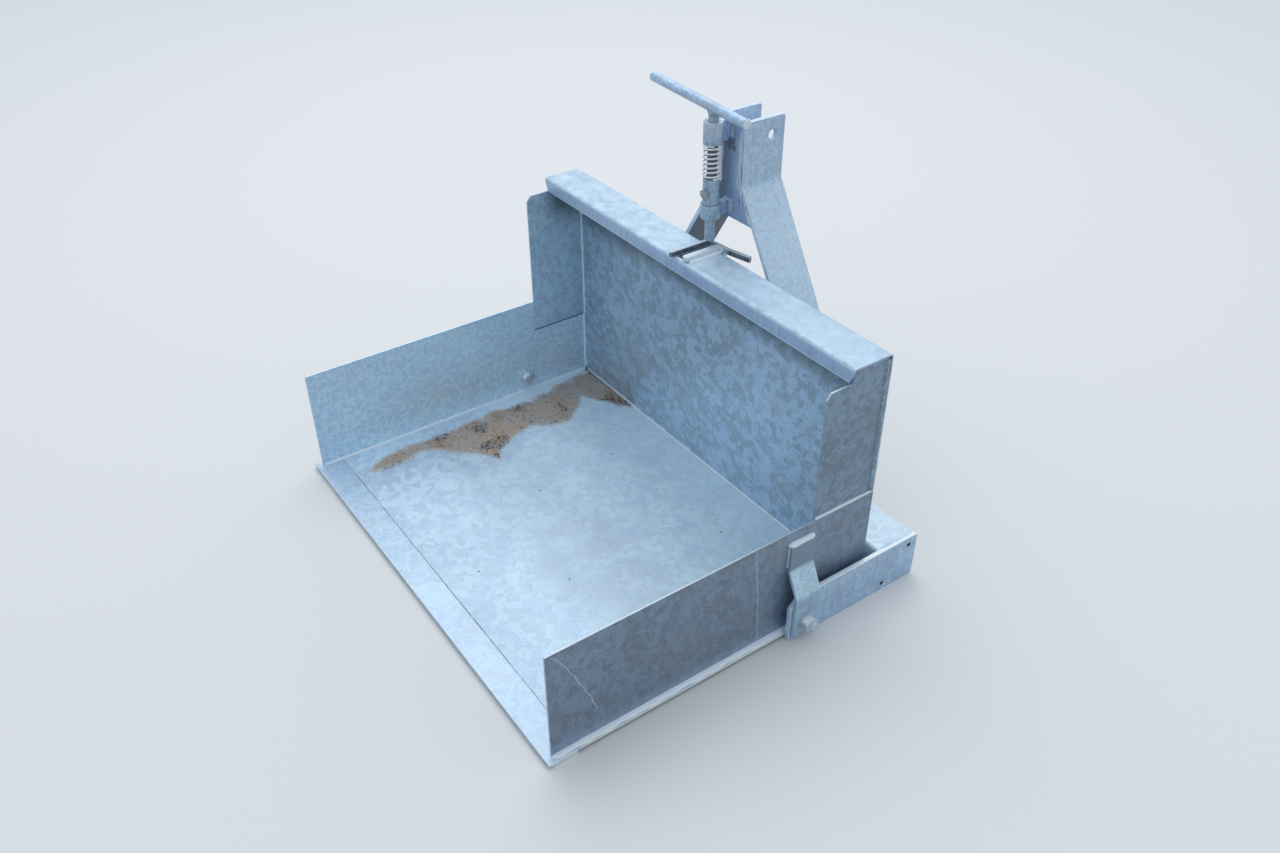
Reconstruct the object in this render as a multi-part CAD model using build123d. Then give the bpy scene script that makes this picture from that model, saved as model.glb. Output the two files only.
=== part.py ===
from build123d import *
import os
from math import cos, pi, radians, sin, sqrt, tan

# Tipping transport bucket for a three-point hitch, in millimetres.
# While it is drawn, X is to the right, Y runs back from the blade's front edge and Z up from the ground.

# Bucket sheet work
BUCKET_WIDTH = 1000.0
BUCKET_DEPTH = 735.0
BUCKET_HEIGHT = 556.0
SHEET = 4.0
LEDGE = 13.0
BLADE_DEPTH = 60.0
BLADE_THICK = 12.0
BLADE_NOSE = 6.0
BLADE_BEVEL = 14.0
SIDE_FRONT = 13.0
SIDE_HEIGHT = 240.0
FLANGE_DEPTH = 93.0
LIP_HEIGHT = 31.0
LIP_INSET = 10.0
BEND_RADIUS = 8.0
CHEEK_FRONT = 587.0
CHEEK_BOTTOM = 178.0
CHEEK_CUT_DEPTH = 10.0
CHEEK_CUT_HEIGHT = 13.0
FIT_GAP = 0.5

# Tipping pivot, one on each side
PIVOT_Y = 558.0
PIVOT_Z = 46.0
BOLT_DIAMETER = 20.0
BOLT_END = 560.0
HEX_ACROSS_FLATS = 30.0
BOLT_HEAD = 12.5
NUT_HEIGHT = 16.0
WASHER_DIAMETER = 37.0
WASHER_THICK = 3.0
SLEEVE_DIAMETER = 28.0
BOLT_HOLE_GAP = 0.25
RUNNING_GAP = 0.05
LUG_WIDTH = 58.0
LUG_THICK = 8.0
LUG_TOP = 222.0
LUG_UPPER_BEND = 164.0
LUG_LOWER_BEND = 111.0
LUG_BOTTOM = 12.0
LUG_BEND_RADIUS = 14.0
LUG_GAP = 1.0

# Hitch frame
ARM_THICK = 10.0
ARM_GAP = 15.0
ARM_FRONT = 524.0
ARM_REAR = 858.0
ARM_HEIGHT = 104.0
ARM_NOSE_DEPTH = 21.0
ARM_NOSE_HEIGHT = 24.0
ARM_HEEL = 6.0
VENT_DIAMETER = 9.0
VENT_UPPER_Y = 836.0
VENT_UPPER_Z = 84.5
VENT_LOWER_Y = 772.0
VENT_LOWER_Z = 15.5
BOX_SIZE = 100.0
BOX_WALL = 5.0
BOX_CORNER = 8.0
BOX_FRONT = 756.0
LEG_WIDTH = 100.0
LEG_THICK = 10.0
LEG_FRONT = 768.0
LEG_TOP = 816.0
LEG_BEND = 687.0
LEG_SPLAY = 31.0
LEG_BEND_RADIUS = 18.0
LEG_CORNER = 6.0
CLEVIS_GAP = 60.0
TOP_LINK_Y = 838.0
TOP_LINK_Z = 780.0
TOP_LINK_DIAMETER = 20.0
WEB_THICK = 10.0
WEB_TOP = 806.0
WEB_BOTTOM = 615.0
EAR_THICK = 10.0
EAR_GAP = 42.0
EAR_MIDDLE = 321.0
EAR_RADIUS = 24.0
EAR_FOOT = 80.0
LOWER_LINK_Y = 886.0
LOWER_LINK_Z = 64.0
LOWER_LINK_DIAMETER = 22.5

# Latch
LATCH_Y = 723.0
ROD_DIAMETER = 20.0
ROD_TIP = 570.5
ROD_TIP_BEVEL = 6.5
HANDLE_Z = 845.0
HANDLE_TILT = 2.5
HANDLE_LEFT = -193.0
HANDLE_RIGHT = 97.0
HANDLE_EDGE = 2.0
SLIDE_GAP = 0.08
UPPER_TUBE_DIAMETER = 38.0
UPPER_TUBE_BOTTOM = 777.0
UPPER_TUBE_TOP = 819.0
CUP_DIAMETER = 40.0
CUP_BOTTOM = 624.0
CUP_TOP = 654.0
CUP_FLOOR = 6.0
CUP_BORE = 35.0
CUP_EDGE = 2.0
STANDOFF_THICK = 12.0
COLLAR_DIAMETER = 33.0
COLLAR_BOTTOM = 645.0
COLLAR_TOP = 707.0
CROSS_BOLT_Z = 679.0
CROSS_BOLT_DIAMETER = 10.0
CROSS_BOLT_HEX = 17.0
CROSS_BOLT_HEAD = 6.4
CROSS_BOLT_DEPTH = 18.0
CROSS_BOLT_TURN = 10.0
WIRE_DIAMETER = 3.5
SPRING_DIAMETER = 38.0
SPRING_TURNS = 7
SPRING_END_GAP = 0.3
SPRING_END_RISE = 4.5
SPRING_END_TURN = 0.05
SPRING_SAMPLES = 700
ARCS_PER_TURN = 4

# Keeper bars on the flange
KEEPER_SLOT = 22.0
KEEPER_HEIGHT = 12.0
KEEPER_BAR_THICK = 8.0
KEEPER_BAR_NOSE = 6.0
KEEPER_FLAT_WIDTH = 16.0
KEEPER_FLAT_CORNER = 6.0
STOP_BAR_THICK = 8.0
STOP_BAR_RAMP = 6.0
STOP_WING_START = 45.0
STOP_WING_END = 96.0
STOP_WING_ANGLE = 13.0
SLOT_FRONT = 652.0

# Planes and levels that follow from the sizes above
side_out = BUCKET_WIDTH / 2
side_in = side_out - SHEET
cheek_in = side_in - SHEET
floor_top = BLADE_THICK
side_top = floor_top + SIDE_HEIGHT
back_in = BUCKET_DEPTH - SHEET
lip_front = BUCKET_DEPTH - FLANGE_DEPTH
lip_bottom = BUCKET_HEIGHT - LIP_HEIGHT
flange_under = BUCKET_HEIGHT - SHEET
arm_in = side_out + ARM_GAP
arm_out = arm_in + ARM_THICK
lug_in = arm_out + LUG_GAP
lug_out = lug_in + LUG_THICK
box_rear = BOX_FRONT + BOX_SIZE
leg_middle = CLEVIS_GAP / 2 + LEG_THICK / 2
leg_rear = LEG_FRONT + LEG_WIDTH
rear_end = LOWER_LINK_Y + EAR_RADIUS


def plate_x(outline, x_low, x_high):
    """Flat plate with its outline in Y and Z, from one X plane to another."""
    face = Plane.YZ.offset(x_low) * Polygon(*outline, align=None)
    return extrude(face, x_high - x_low, dir=(1, 0, 0))


def plate_y(outline, y_low, y_high):
    """Flat plate with its outline in X and Z, from one Y plane to another."""
    face = Plane.XZ.offset(-y_low) * Polygon(*outline, align=None)
    return extrude(face, y_high - y_low, dir=(0, 1, 0))


def hexagon_x(y, z, across_flats, x_low, x_high):
    """Hexagon head or nut along X."""
    face = Plane.YZ.offset(x_low) * Pos(y, z) * RegularPolygon(across_flats / sqrt(3), 6)
    return extrude(face, x_high - x_low, dir=(1, 0, 0))


def hexagon_y(x, z, across_flats, y_low, y_high):
    """Hexagon head or nut along Y."""
    face = Plane.XZ.offset(-y_low) * Pos(x, z) * RegularPolygon(across_flats / sqrt(3), 6)
    return extrude(face, y_high - y_low, dir=(0, 1, 0))


def block(x_span, y_span, z_span):
    """Rectangular bar between two planes in each direction."""
    sizes = [high - low for low, high in (x_span, y_span, z_span)]
    middle = [(low + high) / 2 for low, high in (x_span, y_span, z_span)]
    return Pos(*middle) * Box(*sizes)


def round_x(y, z, diameter, x_low, x_high):
    """Round bar along X."""
    return extrude(Plane.YZ.offset(x_low) * Pos(y, z) * Circle(diameter / 2), x_high - x_low)


def round_y(x, z, diameter, y_low, y_high):
    """Round bar along Y."""
    return extrude(Plane.XZ.offset(-y_high) * Pos(x, z) * Circle(diameter / 2), y_high - y_low)


def round_z(x, y, diameter, z_low, z_high):
    """Round bar along Z."""
    return extrude(Plane.XY.offset(z_low) * Pos(x, y) * Circle(diameter / 2), z_high - z_low)


def bent_bar(path_points, radius, width, thickness):
    """Flat bar bent along a path in X and Z, centred on Y 0."""
    path = Plane.XZ * FilletPolyline(*path_points, radius=radius)
    start = Plane(origin=path @ 0, x_dir=(0, 1, 0), z_dir=path % 0)
    return sweep(start * Rectangle(width, thickness), path=path)


def other_side(shape):
    """The same piece on the left of the bucket."""
    return mirror(shape, Plane.YZ)


def both_sides(shape):
    """One node with the right-hand piece and its mirror image as two solids."""
    return Compound([shape.solid(), other_side(shape).solid()])


def floor_plate():
    """Sheet floor, a ledge wider than the side plates, welded behind the blade."""
    half = side_out + LEDGE
    return block((-half, half), (BLADE_DEPTH, BUCKET_DEPTH), (floor_top - SHEET, floor_top))


def cutting_blade():
    """Flat bar with its front edge bevelled from below."""
    half = side_out + LEDGE
    outline = [(0, floor_top), (0, BLADE_NOSE), (BLADE_BEVEL, 0), (BLADE_DEPTH, 0), (BLADE_DEPTH, floor_top)]
    return plate_x(outline, -half, half)


def side_plate():
    """Right side plate, standing on the floor and the blade."""
    plate = block((side_in, side_out), (SIDE_FRONT, BUCKET_DEPTH), (floor_top, side_top))
    hole = BOLT_DIAMETER + 2 * BOLT_HOLE_GAP
    return plate - round_x(PIVOT_Y, PIVOT_Z, hole, side_in, side_out)


def back_sheet():
    """Back wall, flange and lip folded from one sheet, with the latch slot in the flange."""
    lip_in = lip_front + SHEET
    outline = [
        (back_in, floor_top),
        (BUCKET_DEPTH, floor_top),
        (BUCKET_DEPTH, BUCKET_HEIGHT),
        (lip_front, BUCKET_HEIGHT),
        (lip_front, lip_bottom),
        (lip_in, lip_bottom),
        (lip_in, flange_under),
        (back_in, flange_under),
    ]
    profile = Polygon(*outline, align=None)
    inner = profile.vertices().sort_by(Axis.Y)[-4:-2]
    profile = fillet(inner, BEND_RADIUS - SHEET)
    outer = profile.vertices().sort_by(Axis.Y)[-2:]
    profile = fillet(outer, BEND_RADIUS)
    sheet = extrude(Plane.YZ.offset(-side_out) * profile, BUCKET_WIDTH)
    notch = block((side_in, side_out), (back_in, BUCKET_DEPTH), (floor_top, side_top))
    lip_top = BUCKET_HEIGHT - BEND_RADIUS
    trim = [(side_out, lip_top), (side_out, lip_bottom), (side_out - LIP_INSET, lip_bottom)]
    for cut in (notch, plate_y(trim, lip_front, lip_in)):
        sheet = sheet - cut - other_side(cut)
    half_slot = KEEPER_SLOT / 2
    slot_rear = BUCKET_DEPTH - BEND_RADIUS
    return sheet - block((-half_slot, half_slot), (SLOT_FRONT, slot_rear), (flange_under, BUCKET_HEIGHT))


def cheek():
    """Right upper side plate, lapped inside the side plate and notched under the lip and flange."""
    notch = lip_front + SHEET + FIT_GAP
    shoulder = lip_bottom - FIT_GAP
    bend = BEND_RADIUS - SHEET + FIT_GAP
    outline = [
        (CHEEK_FRONT, CHEEK_BOTTOM),
        (back_in, CHEEK_BOTTOM),
        (back_in, flange_under - bend),
        (back_in - bend, flange_under),
        (notch + bend, flange_under),
        (notch, flange_under - bend),
        (notch, shoulder),
        (CHEEK_FRONT + CHEEK_CUT_DEPTH, shoulder),
        (CHEEK_FRONT, shoulder - CHEEK_CUT_HEIGHT),
    ]
    return plate_x(outline, cheek_in, side_in)


def hinge_lug():
    """Right hinge lug, welded to the side plate and joggled out past the arm."""
    upper = side_out + LUG_THICK / 2
    lower = lug_in + LUG_THICK / 2
    path = [(upper, LUG_TOP), (upper, LUG_UPPER_BEND), (lower, LUG_LOWER_BEND), (lower, LUG_BOTTOM)]
    lug = Pos(0, PIVOT_Y, 0) * bent_bar(path, LUG_BEND_RADIUS, LUG_WIDTH, LUG_THICK)
    hole = BOLT_DIAMETER + 2 * BOLT_HOLE_GAP
    return lug - round_x(PIVOT_Y, PIVOT_Z, hole, lug_in, lug_out)


def pivot_bolt():
    """Hexagon bolt through the right side plate, sleeve and lug, with its head inside the bucket."""
    head = hexagon_x(PIVOT_Y, PIVOT_Z, HEX_ACROSS_FLATS, side_in - BOLT_HEAD, side_in)
    shank = round_x(PIVOT_Y, PIVOT_Z, BOLT_DIAMETER, side_in, BOLT_END)
    return head + shank


def pivot_ring(diameter, x_low, x_high):
    """Ring on the right pivot bolt."""
    bore = BOLT_DIAMETER + 2 * BOLT_HOLE_GAP
    ring = round_x(PIVOT_Y, PIVOT_Z, diameter, x_low, x_high)
    return ring - round_x(PIVOT_Y, PIVOT_Z, bore, x_low, x_high)


def pivot_nut():
    """Hexagon nut outside the right lug."""
    start = lug_out + WASHER_THICK
    end = start + NUT_HEIGHT
    nut = hexagon_x(PIVOT_Y, PIVOT_Z, HEX_ACROSS_FLATS, start, end)
    return nut - round_x(PIVOT_Y, PIVOT_Z, BOLT_DIAMETER, start, end)


def keeper_left_bar():
    """Bar on edge along the left of the latch slot, with its nose past the lip."""
    right = -KEEPER_SLOT / 2
    top = BUCKET_HEIGHT + KEEPER_HEIGHT
    front = lip_front - KEEPER_BAR_NOSE
    return block((right - KEEPER_BAR_THICK, right), (front, BUCKET_DEPTH), (BUCKET_HEIGHT, top))


def keeper_right_bar():
    """Wider bar along the right of the latch slot."""
    left = KEEPER_SLOT / 2
    top = BUCKET_HEIGHT + KEEPER_HEIGHT
    front = lip_front + BEND_RADIUS / 2
    bar = block((left, left + KEEPER_FLAT_WIDTH), (front, BUCKET_DEPTH), (BUCKET_HEIGHT, top))
    corner = bar.edges().filter_by(Axis.Z).sort_by_distance((left + KEEPER_FLAT_WIDTH, front, top))[0]
    return fillet(corner, KEEPER_FLAT_CORNER)


def keeper_stop_bar():
    """Bar across the back of the slot, which the latch rod holds, with its right end bent back as a wing."""
    left = -KEEPER_SLOT / 2 - KEEPER_BAR_THICK
    rear = BUCKET_DEPTH + STOP_BAR_THICK
    top = BUCKET_HEIGHT + KEEPER_HEIGHT
    back = (STOP_WING_END - STOP_WING_START) * tan(radians(STOP_WING_ANGLE))
    front_line = [(left, BUCKET_DEPTH), (STOP_WING_START, BUCKET_DEPTH), (STOP_WING_END, BUCKET_DEPTH + back)]
    rear_line = [(STOP_WING_END, rear + back), (STOP_WING_START, rear), (left, rear)]
    plan = Plane.XY.offset(BUCKET_HEIGHT) * Polygon(*front_line, *rear_line, align=None)
    bar = extrude(plan, KEEPER_HEIGHT, dir=(0, 0, 1))
    ramp = bar.edges().filter_by(Axis.X).sort_by_distance((left, rear, top))[0]
    return chamfer(ramp, STOP_BAR_RAMP)


def cross_member():
    """Square tube behind the bucket, closed at its ends by the arms."""
    outer = RectangleRounded(BOX_SIZE, BOX_SIZE, BOX_CORNER)
    inside = BOX_SIZE - 2 * BOX_WALL
    inner = RectangleRounded(inside, inside, BOX_CORNER - BOX_WALL)
    centre = Pos(BOX_FRONT + BOX_SIZE / 2, ARM_HEIGHT - BOX_SIZE / 2)
    return extrude(Plane.YZ.offset(-arm_in) * centre * (outer - inner), 2 * arm_in)


def side_arm():
    """Right side arm, with its nose cut back so that the lug swings past, and two zinc vent holes."""
    outline = [
        (ARM_FRONT, 0),
        (ARM_REAR - ARM_HEEL, 0),
        (ARM_REAR, ARM_HEEL),
        (ARM_REAR, ARM_HEIGHT),
        (ARM_FRONT + ARM_NOSE_DEPTH, ARM_HEIGHT),
        (ARM_FRONT, ARM_HEIGHT - ARM_NOSE_HEIGHT),
    ]
    arm = plate_x(outline, arm_in, arm_out)
    arm -= round_x(PIVOT_Y, PIVOT_Z, SLEEVE_DIAMETER + 2 * RUNNING_GAP, arm_in, arm_out)
    for y, z in ((VENT_UPPER_Y, VENT_UPPER_Z), (VENT_LOWER_Y, VENT_LOWER_Z)):
        arm -= round_x(y, z, VENT_DIAMETER, arm_in, arm_out)
    return arm


def a_frame_leg():
    """Right leg: a flat bar, upright at the clevis and splayed down to the cross member."""
    foot = leg_middle + LEG_BEND * tan(radians(LEG_SPLAY))
    path = [(leg_middle, LEG_TOP), (leg_middle, LEG_BEND), (foot, 0)]
    leg = Pos(0, LEG_FRONT + LEG_WIDTH / 2, 0) * bent_bar(path, LEG_BEND_RADIUS, LEG_WIDTH, LEG_THICK)
    leg -= block((0, BUCKET_WIDTH), (LEG_FRONT, leg_rear), (-BOX_SIZE, ARM_HEIGHT))
    leg -= round_x(TOP_LINK_Y, TOP_LINK_Z, TOP_LINK_DIAMETER, CLEVIS_GAP / 2, CLEVIS_GAP / 2 + LEG_THICK)
    corners = leg.edges().filter_by(Axis.X).group_by(Axis.Z)[-1]
    return fillet(corners, LEG_CORNER)


def web_plate():
    """Plate between the legs, upright at the clevis and widening with the splayed part."""
    gap = CLEVIS_GAP / 2
    bend = LEG_BEND - LEG_THICK / 2 * tan(radians(LEG_SPLAY / 2))
    low = gap + (bend - WEB_BOTTOM) * tan(radians(LEG_SPLAY))
    right = [(low, WEB_BOTTOM), (gap, bend), (gap, WEB_TOP)]
    left = [(-x, z) for x, z in reversed(right)]
    return plate_y(right + left, LEG_FRONT, LEG_FRONT + WEB_THICK)


def link_ear(x_low):
    """Lower-link ear plate on the back of the cross member."""
    outline = [(box_rear, LOWER_LINK_Z - EAR_FOOT / 2), (box_rear, LOWER_LINK_Z + EAR_FOOT / 2)]
    outline += [(LOWER_LINK_Y, LOWER_LINK_Z + EAR_RADIUS), (LOWER_LINK_Y, LOWER_LINK_Z - EAR_RADIUS)]
    high = x_low + EAR_THICK
    ear = plate_x(outline, x_low, high) + round_x(LOWER_LINK_Y, LOWER_LINK_Z, 2 * EAR_RADIUS, x_low, high)
    return ear - round_x(LOWER_LINK_Y, LOWER_LINK_Z, LOWER_LINK_DIAMETER, x_low, high)


def upper_guide_tube():
    """Tube that guides the top of the latch rod and holds the spring down."""
    bore = ROD_DIAMETER + 2 * SLIDE_GAP
    tube = round_z(0, LATCH_Y, UPPER_TUBE_DIAMETER, UPPER_TUBE_BOTTOM, UPPER_TUBE_TOP)
    return tube - round_z(0, LATCH_Y, bore, UPPER_TUBE_BOTTOM, UPPER_TUBE_TOP)


def lower_guide_cup():
    """Turned cup that guides the foot of the rod and takes in the collar."""
    bore = ROD_DIAMETER + 2 * SLIDE_GAP
    cup = round_z(0, LATCH_Y, CUP_DIAMETER, CUP_BOTTOM, CUP_TOP)
    cup = fillet(cup.edges().group_by(Axis.Z)[0], CUP_EDGE)
    cup -= round_z(0, LATCH_Y, bore, CUP_BOTTOM, CUP_TOP)
    return cup - round_z(0, LATCH_Y, CUP_BORE, CUP_BOTTOM + CUP_FLOOR, CUP_TOP)


def standoff(guide_diameter, z_low, z_high):
    """Block that holds a guide off the web plate."""
    half = STANDOFF_THICK / 2
    bar = block((-half, half), (LATCH_Y, LEG_FRONT), (z_low, z_high))
    return bar - round_z(0, LATCH_Y, guide_diameter, z_low, z_high)


def round_the_rod(shape):
    """Turns a piece drawn in front of the rod round towards the right."""
    return Pos(0, LATCH_Y, 0) * Rot(0, 0, CROSS_BOLT_TURN) * Pos(0, -LATCH_Y, 0) * shape


def cross_bolt_shank():
    """Shank of the cross bolt, through the collar's wall and into the rod."""
    seat = LATCH_Y - COLLAR_DIAMETER / 2
    return round_the_rod(round_y(0, CROSS_BOLT_Z, CROSS_BOLT_DIAMETER, seat, seat + CROSS_BOLT_DEPTH))


def latch_rod():
    """Round rod with a bevelled tip, drilled for the cross bolt and coped under the handle."""
    radius = ROD_DIAMETER / 2
    rod = round_z(0, LATCH_Y, ROD_DIAMETER, ROD_TIP, HANDLE_Z)
    front = LATCH_Y - radius
    wedge = [(front, ROD_TIP), (LATCH_Y + radius, ROD_TIP), (front, ROD_TIP + ROD_TIP_BEVEL)]
    rod -= plate_x(wedge, -radius, radius)
    return rod - t_handle() - cross_bolt_shank()


def t_handle():
    """Round bar across the top of the rod, longer to the left and welded on a little out of level."""
    bar = round_x(0, 0, ROD_DIAMETER, HANDLE_LEFT, HANDLE_RIGHT)
    bar = chamfer(bar.edges().filter_by(GeomType.CIRCLE), HANDLE_EDGE)
    return Pos(0, LATCH_Y, HANDLE_Z) * Rot(0, HANDLE_TILT, 0) * bar


def collar():
    """Collar on the rod, with the spring on its top and its foot in the guide cup."""
    ring = round_z(0, LATCH_Y, COLLAR_DIAMETER, COLLAR_BOTTOM, COLLAR_TOP)
    ring -= round_z(0, LATCH_Y, ROD_DIAMETER, COLLAR_BOTTOM, COLLAR_TOP)
    return ring - cross_bolt_shank()


def collar_bolt():
    """Bolt that pins the collar to the rod, its head seated on the collar's round face."""
    seat = LATCH_Y - COLLAR_DIAMETER / 2
    head = hexagon_y(0, CROSS_BOLT_Z, CROSS_BOLT_HEX, seat - CROSS_BOLT_HEAD, seat)
    return cross_bolt_shank() + round_the_rod(head)


def spring_point(turn, z):
    """Point on the cylinder of the spring's middle line."""
    radius = (SPRING_DIAMETER - WIRE_DIAMETER) / 2
    angle = 2 * pi * turn
    return Vector(radius * cos(angle), LATCH_Y + radius * sin(angle), z)


def spring_turn(turn):
    """Point and direction on the spring's coils after a number of turns."""
    end = SPRING_END_GAP + WIRE_DIAMETER + SPRING_END_RISE
    low = COLLAR_TOP + end
    pitch = (UPPER_TUBE_BOTTOM - end - low) / SPRING_TURNS
    point = spring_point(turn, low + pitch * turn)
    across = point - Vector(0, LATCH_Y, point.Z)
    along = Vector(0, 0, 1).cross(across) * 2 * pi + Vector(0, 0, pitch)
    return point, along.normalized()


def biarc(start, start_way, end, end_way):
    """Two arcs that leave and arrive in the given directions."""
    chord = end - start
    ways = start_way + end_way
    turned = 1 - start_way.dot(end_way)
    along = chord.dot(ways)
    reach = (sqrt(along**2 + 2 * turned * chord.dot(chord)) - along) / (2 * turned)
    middle = (start + end + (start_way - end_way) * reach) / 2
    first = TangentArc(start, middle, tangent=start_way)
    return [first, TangentArc(middle, end, tangent=first % 1)]


def latch_spring():
    """Compression spring round the rod, from the collar up to the upper guide tube."""
    up = Vector(0, 0, 1)
    bottom = COLLAR_TOP + SPRING_END_GAP
    top = UPPER_TUBE_BOTTOM - SPRING_END_GAP
    foot = spring_point(-SPRING_END_TURN, bottom)
    head = spring_point(SPRING_TURNS + SPRING_END_TURN, top)
    straight = up * WIRE_DIAMETER
    turns = [spring_turn(i / ARCS_PER_TURN) for i in range(ARCS_PER_TURN * SPRING_TURNS + 1)]
    steps = [(foot + straight, up), *turns, (head - straight, up)]
    edges = [Line(foot, foot + straight)]
    for (start, start_way), (end, end_way) in zip(steps, steps[1:]):
        edges += biarc(start, start_way, end, end_way)
    edges.append(Line(head - straight, head))
    path = Wire(edges)
    per_turn = round(SPRING_SAMPLES / SPRING_TURNS)
    points = [path @ (i / SPRING_SAMPLES) for i in range(SPRING_SAMPLES + 1)]
    spans = [(p - q).length for i, p in enumerate(points) for q in points[i + per_turn // 2:]]
    print(f"latch_spring least gap to itself {min(spans) - WIRE_DIAMETER:.2f} mm")
    section = Plane(origin=foot, z_dir=up) * Circle(WIRE_DIAMETER / 2)
    return sweep(section, path=path)


right_side = side_plate()
right_cheek = cheek()
right_lug = hinge_lug()
right_arm = side_arm()
right_leg = a_frame_leg()
inner_ear = link_ear(EAR_MIDDLE - EAR_GAP / 2 - EAR_THICK)
outer_ear = link_ear(EAR_MIDDLE + EAR_GAP / 2)

nodes = {
    "floor_plate": floor_plate(),
    "cutting_blade": cutting_blade(),
    "side_plate_right": right_side,
    "side_plate_left": other_side(right_side),
    "back_sheet": back_sheet(),
    "cheek_right": right_cheek,
    "cheek_left": other_side(right_cheek),
    "hinge_lug_right": right_lug,
    "hinge_lug_left": other_side(right_lug),
    "pivot_bolts": both_sides(pivot_bolt()),
    "pivot_sleeves": both_sides(pivot_ring(SLEEVE_DIAMETER, side_out, lug_in)),
    "pivot_washers": both_sides(pivot_ring(WASHER_DIAMETER, lug_out, lug_out + WASHER_THICK)),
    "pivot_nuts": both_sides(pivot_nut()),
    "keeper_left_bar": keeper_left_bar(),
    "keeper_right_bar": keeper_right_bar(),
    "keeper_stop_bar": keeper_stop_bar(),
    "cross_member": cross_member(),
    "side_arm_right": right_arm,
    "side_arm_left": other_side(right_arm),
    "a_frame_leg_right": right_leg,
    "a_frame_leg_left": other_side(right_leg),
    "web_plate": web_plate(),
    "upper_guide_tube": upper_guide_tube(),
    "upper_standoff": standoff(UPPER_TUBE_DIAMETER, UPPER_TUBE_BOTTOM, UPPER_TUBE_TOP),
    "lower_guide_cup": lower_guide_cup(),
    "lower_standoff": standoff(CUP_DIAMETER, CUP_BOTTOM + CUP_EDGE, CUP_TOP),
    "link_ear_right_inner": inner_ear,
    "link_ear_right_outer": outer_ear,
    "link_ear_left_inner": other_side(inner_ear),
    "link_ear_left_outer": other_side(outer_ear),
    "latch_rod": latch_rod(),
    "t_handle": t_handle(),
    "collar": collar(),
    "collar_bolt": collar_bolt(),
    "latch_spring": latch_spring(),
}

# The stored frame has its origin on the ground under the middle of the whole part
to_frame = Pos(0, -rear_end / 2, 0)
os.makedirs("parts", exist_ok=True)
for name, shape in nodes.items():
    export_step(to_frame * shape, f"parts/{name}.step")
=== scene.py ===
import math

import bpy
import bmesh
import numpy as np
from mathutils import Matrix, Vector
from mathutils.geometry import delaunay_2d_cdt


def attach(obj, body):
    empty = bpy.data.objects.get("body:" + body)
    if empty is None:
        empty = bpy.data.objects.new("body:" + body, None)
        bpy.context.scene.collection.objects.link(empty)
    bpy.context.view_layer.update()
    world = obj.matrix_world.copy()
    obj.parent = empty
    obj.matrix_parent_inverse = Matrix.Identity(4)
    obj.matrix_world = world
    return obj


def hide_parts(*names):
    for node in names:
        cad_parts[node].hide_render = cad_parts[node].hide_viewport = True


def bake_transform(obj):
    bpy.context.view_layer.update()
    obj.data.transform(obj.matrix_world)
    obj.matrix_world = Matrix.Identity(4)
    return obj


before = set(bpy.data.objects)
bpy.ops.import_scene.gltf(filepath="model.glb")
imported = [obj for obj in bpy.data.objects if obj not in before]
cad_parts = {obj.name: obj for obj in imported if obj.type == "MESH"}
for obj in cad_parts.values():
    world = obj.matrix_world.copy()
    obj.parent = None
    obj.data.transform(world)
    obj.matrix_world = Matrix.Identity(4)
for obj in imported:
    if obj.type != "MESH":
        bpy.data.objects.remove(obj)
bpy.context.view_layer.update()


# CUTTING BLADE
# A flat steel bar across the bucket's mouth, its underside ground away to a thin front edge.
# It is butted to the floor's front edge, welded, and dipped in zinc with the whole bucket.

class Socket:
    """One socket on its way through a material's nodes; + - * and abs add Math nodes, also in 1 - mask."""

    def __init__(self, tree, out=None):
        self.tree, self.out = tree, out

    def node(self, kind, settings=None, sockets=None, out=0):
        """Adds a node: first its settings, then the values or links of its sockets; hands back one output."""
        made = self.tree.nodes.new("ShaderNode" + kind)
        for name, value in (settings or {}).items():
            if name == "stops":
                steps = made.color_ramp.elements
                while len(steps) < len(value):
                    steps.new(1.0)
                for step, (spot, level) in zip(steps, value):
                    step.position, step.color = spot, (level, level, level, 1)
            else:
                setattr(made, name, value)
        for name, value in (sockets or {}).items():
            self.feed(made.inputs[name], value)
        return Socket(self.tree, made.outputs[out])

    def feed(self, end, value):
        """Links a socket to an input, or writes a plain value there."""
        if isinstance(value, Socket):
            self.tree.links.new(value.out, end)
        else:
            end.default_value = (*value, 1) if end.type == "RGBA" else value

    def maths(self, operation, *terms):
        return self.node("Math", {"operation": operation}, dict(enumerate(terms)))

    def vector(self, operation, *terms, out=0):
        return self.node("VectorMath", {"operation": operation}, dict(enumerate(terms)), out)

    def __add__(self, other):
        return self.maths("ADD", self, other)

    def __sub__(self, other):
        return self.maths("SUBTRACT", self, other)

    def __rsub__(self, other):
        return self.maths("SUBTRACT", other, self)

    def __mul__(self, other):
        return self.maths("MULTIPLY", self, other)

    def __abs__(self):
        return self.maths("ABSOLUTE", self)

    __radd__, __rmul__ = __add__, __mul__

    def rise(self, low, high, ease="SMOOTHSTEP"):
        """0 below low, 1 above high, eased between them, or straight with LINEAR."""
        ends = {"Value": self, "From Min": low, "From Max": high}
        return self.node("MapRange", {"interpolation_type": ease}, ends)

    def fall(self, low, high):
        """1 below low, 0 above high, eased between them."""
        return 1 - self.rise(low, high)

    def blend(self, first, second):
        """Colour that goes from first to second as this value goes from 0 to 1."""
        return self.node("Mix", {"data_type": "RGBA"}, {0: self, 6: first, 7: second}, out=2)

    def noise(self, scale, detail, roughness=0.5, out=0):
        """Noise over this place."""
        sockets = {"Vector": self, "Scale": scale, "Detail": detail, "Roughness": roughness}
        return self.node("TexNoise", {}, sockets, out)

    def axes(self, names="XYZ"):
        """This place's distances along the named axes."""
        return [self.node("SeparateXYZ", {}, {"Vector": self}, name) for name in names]


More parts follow.
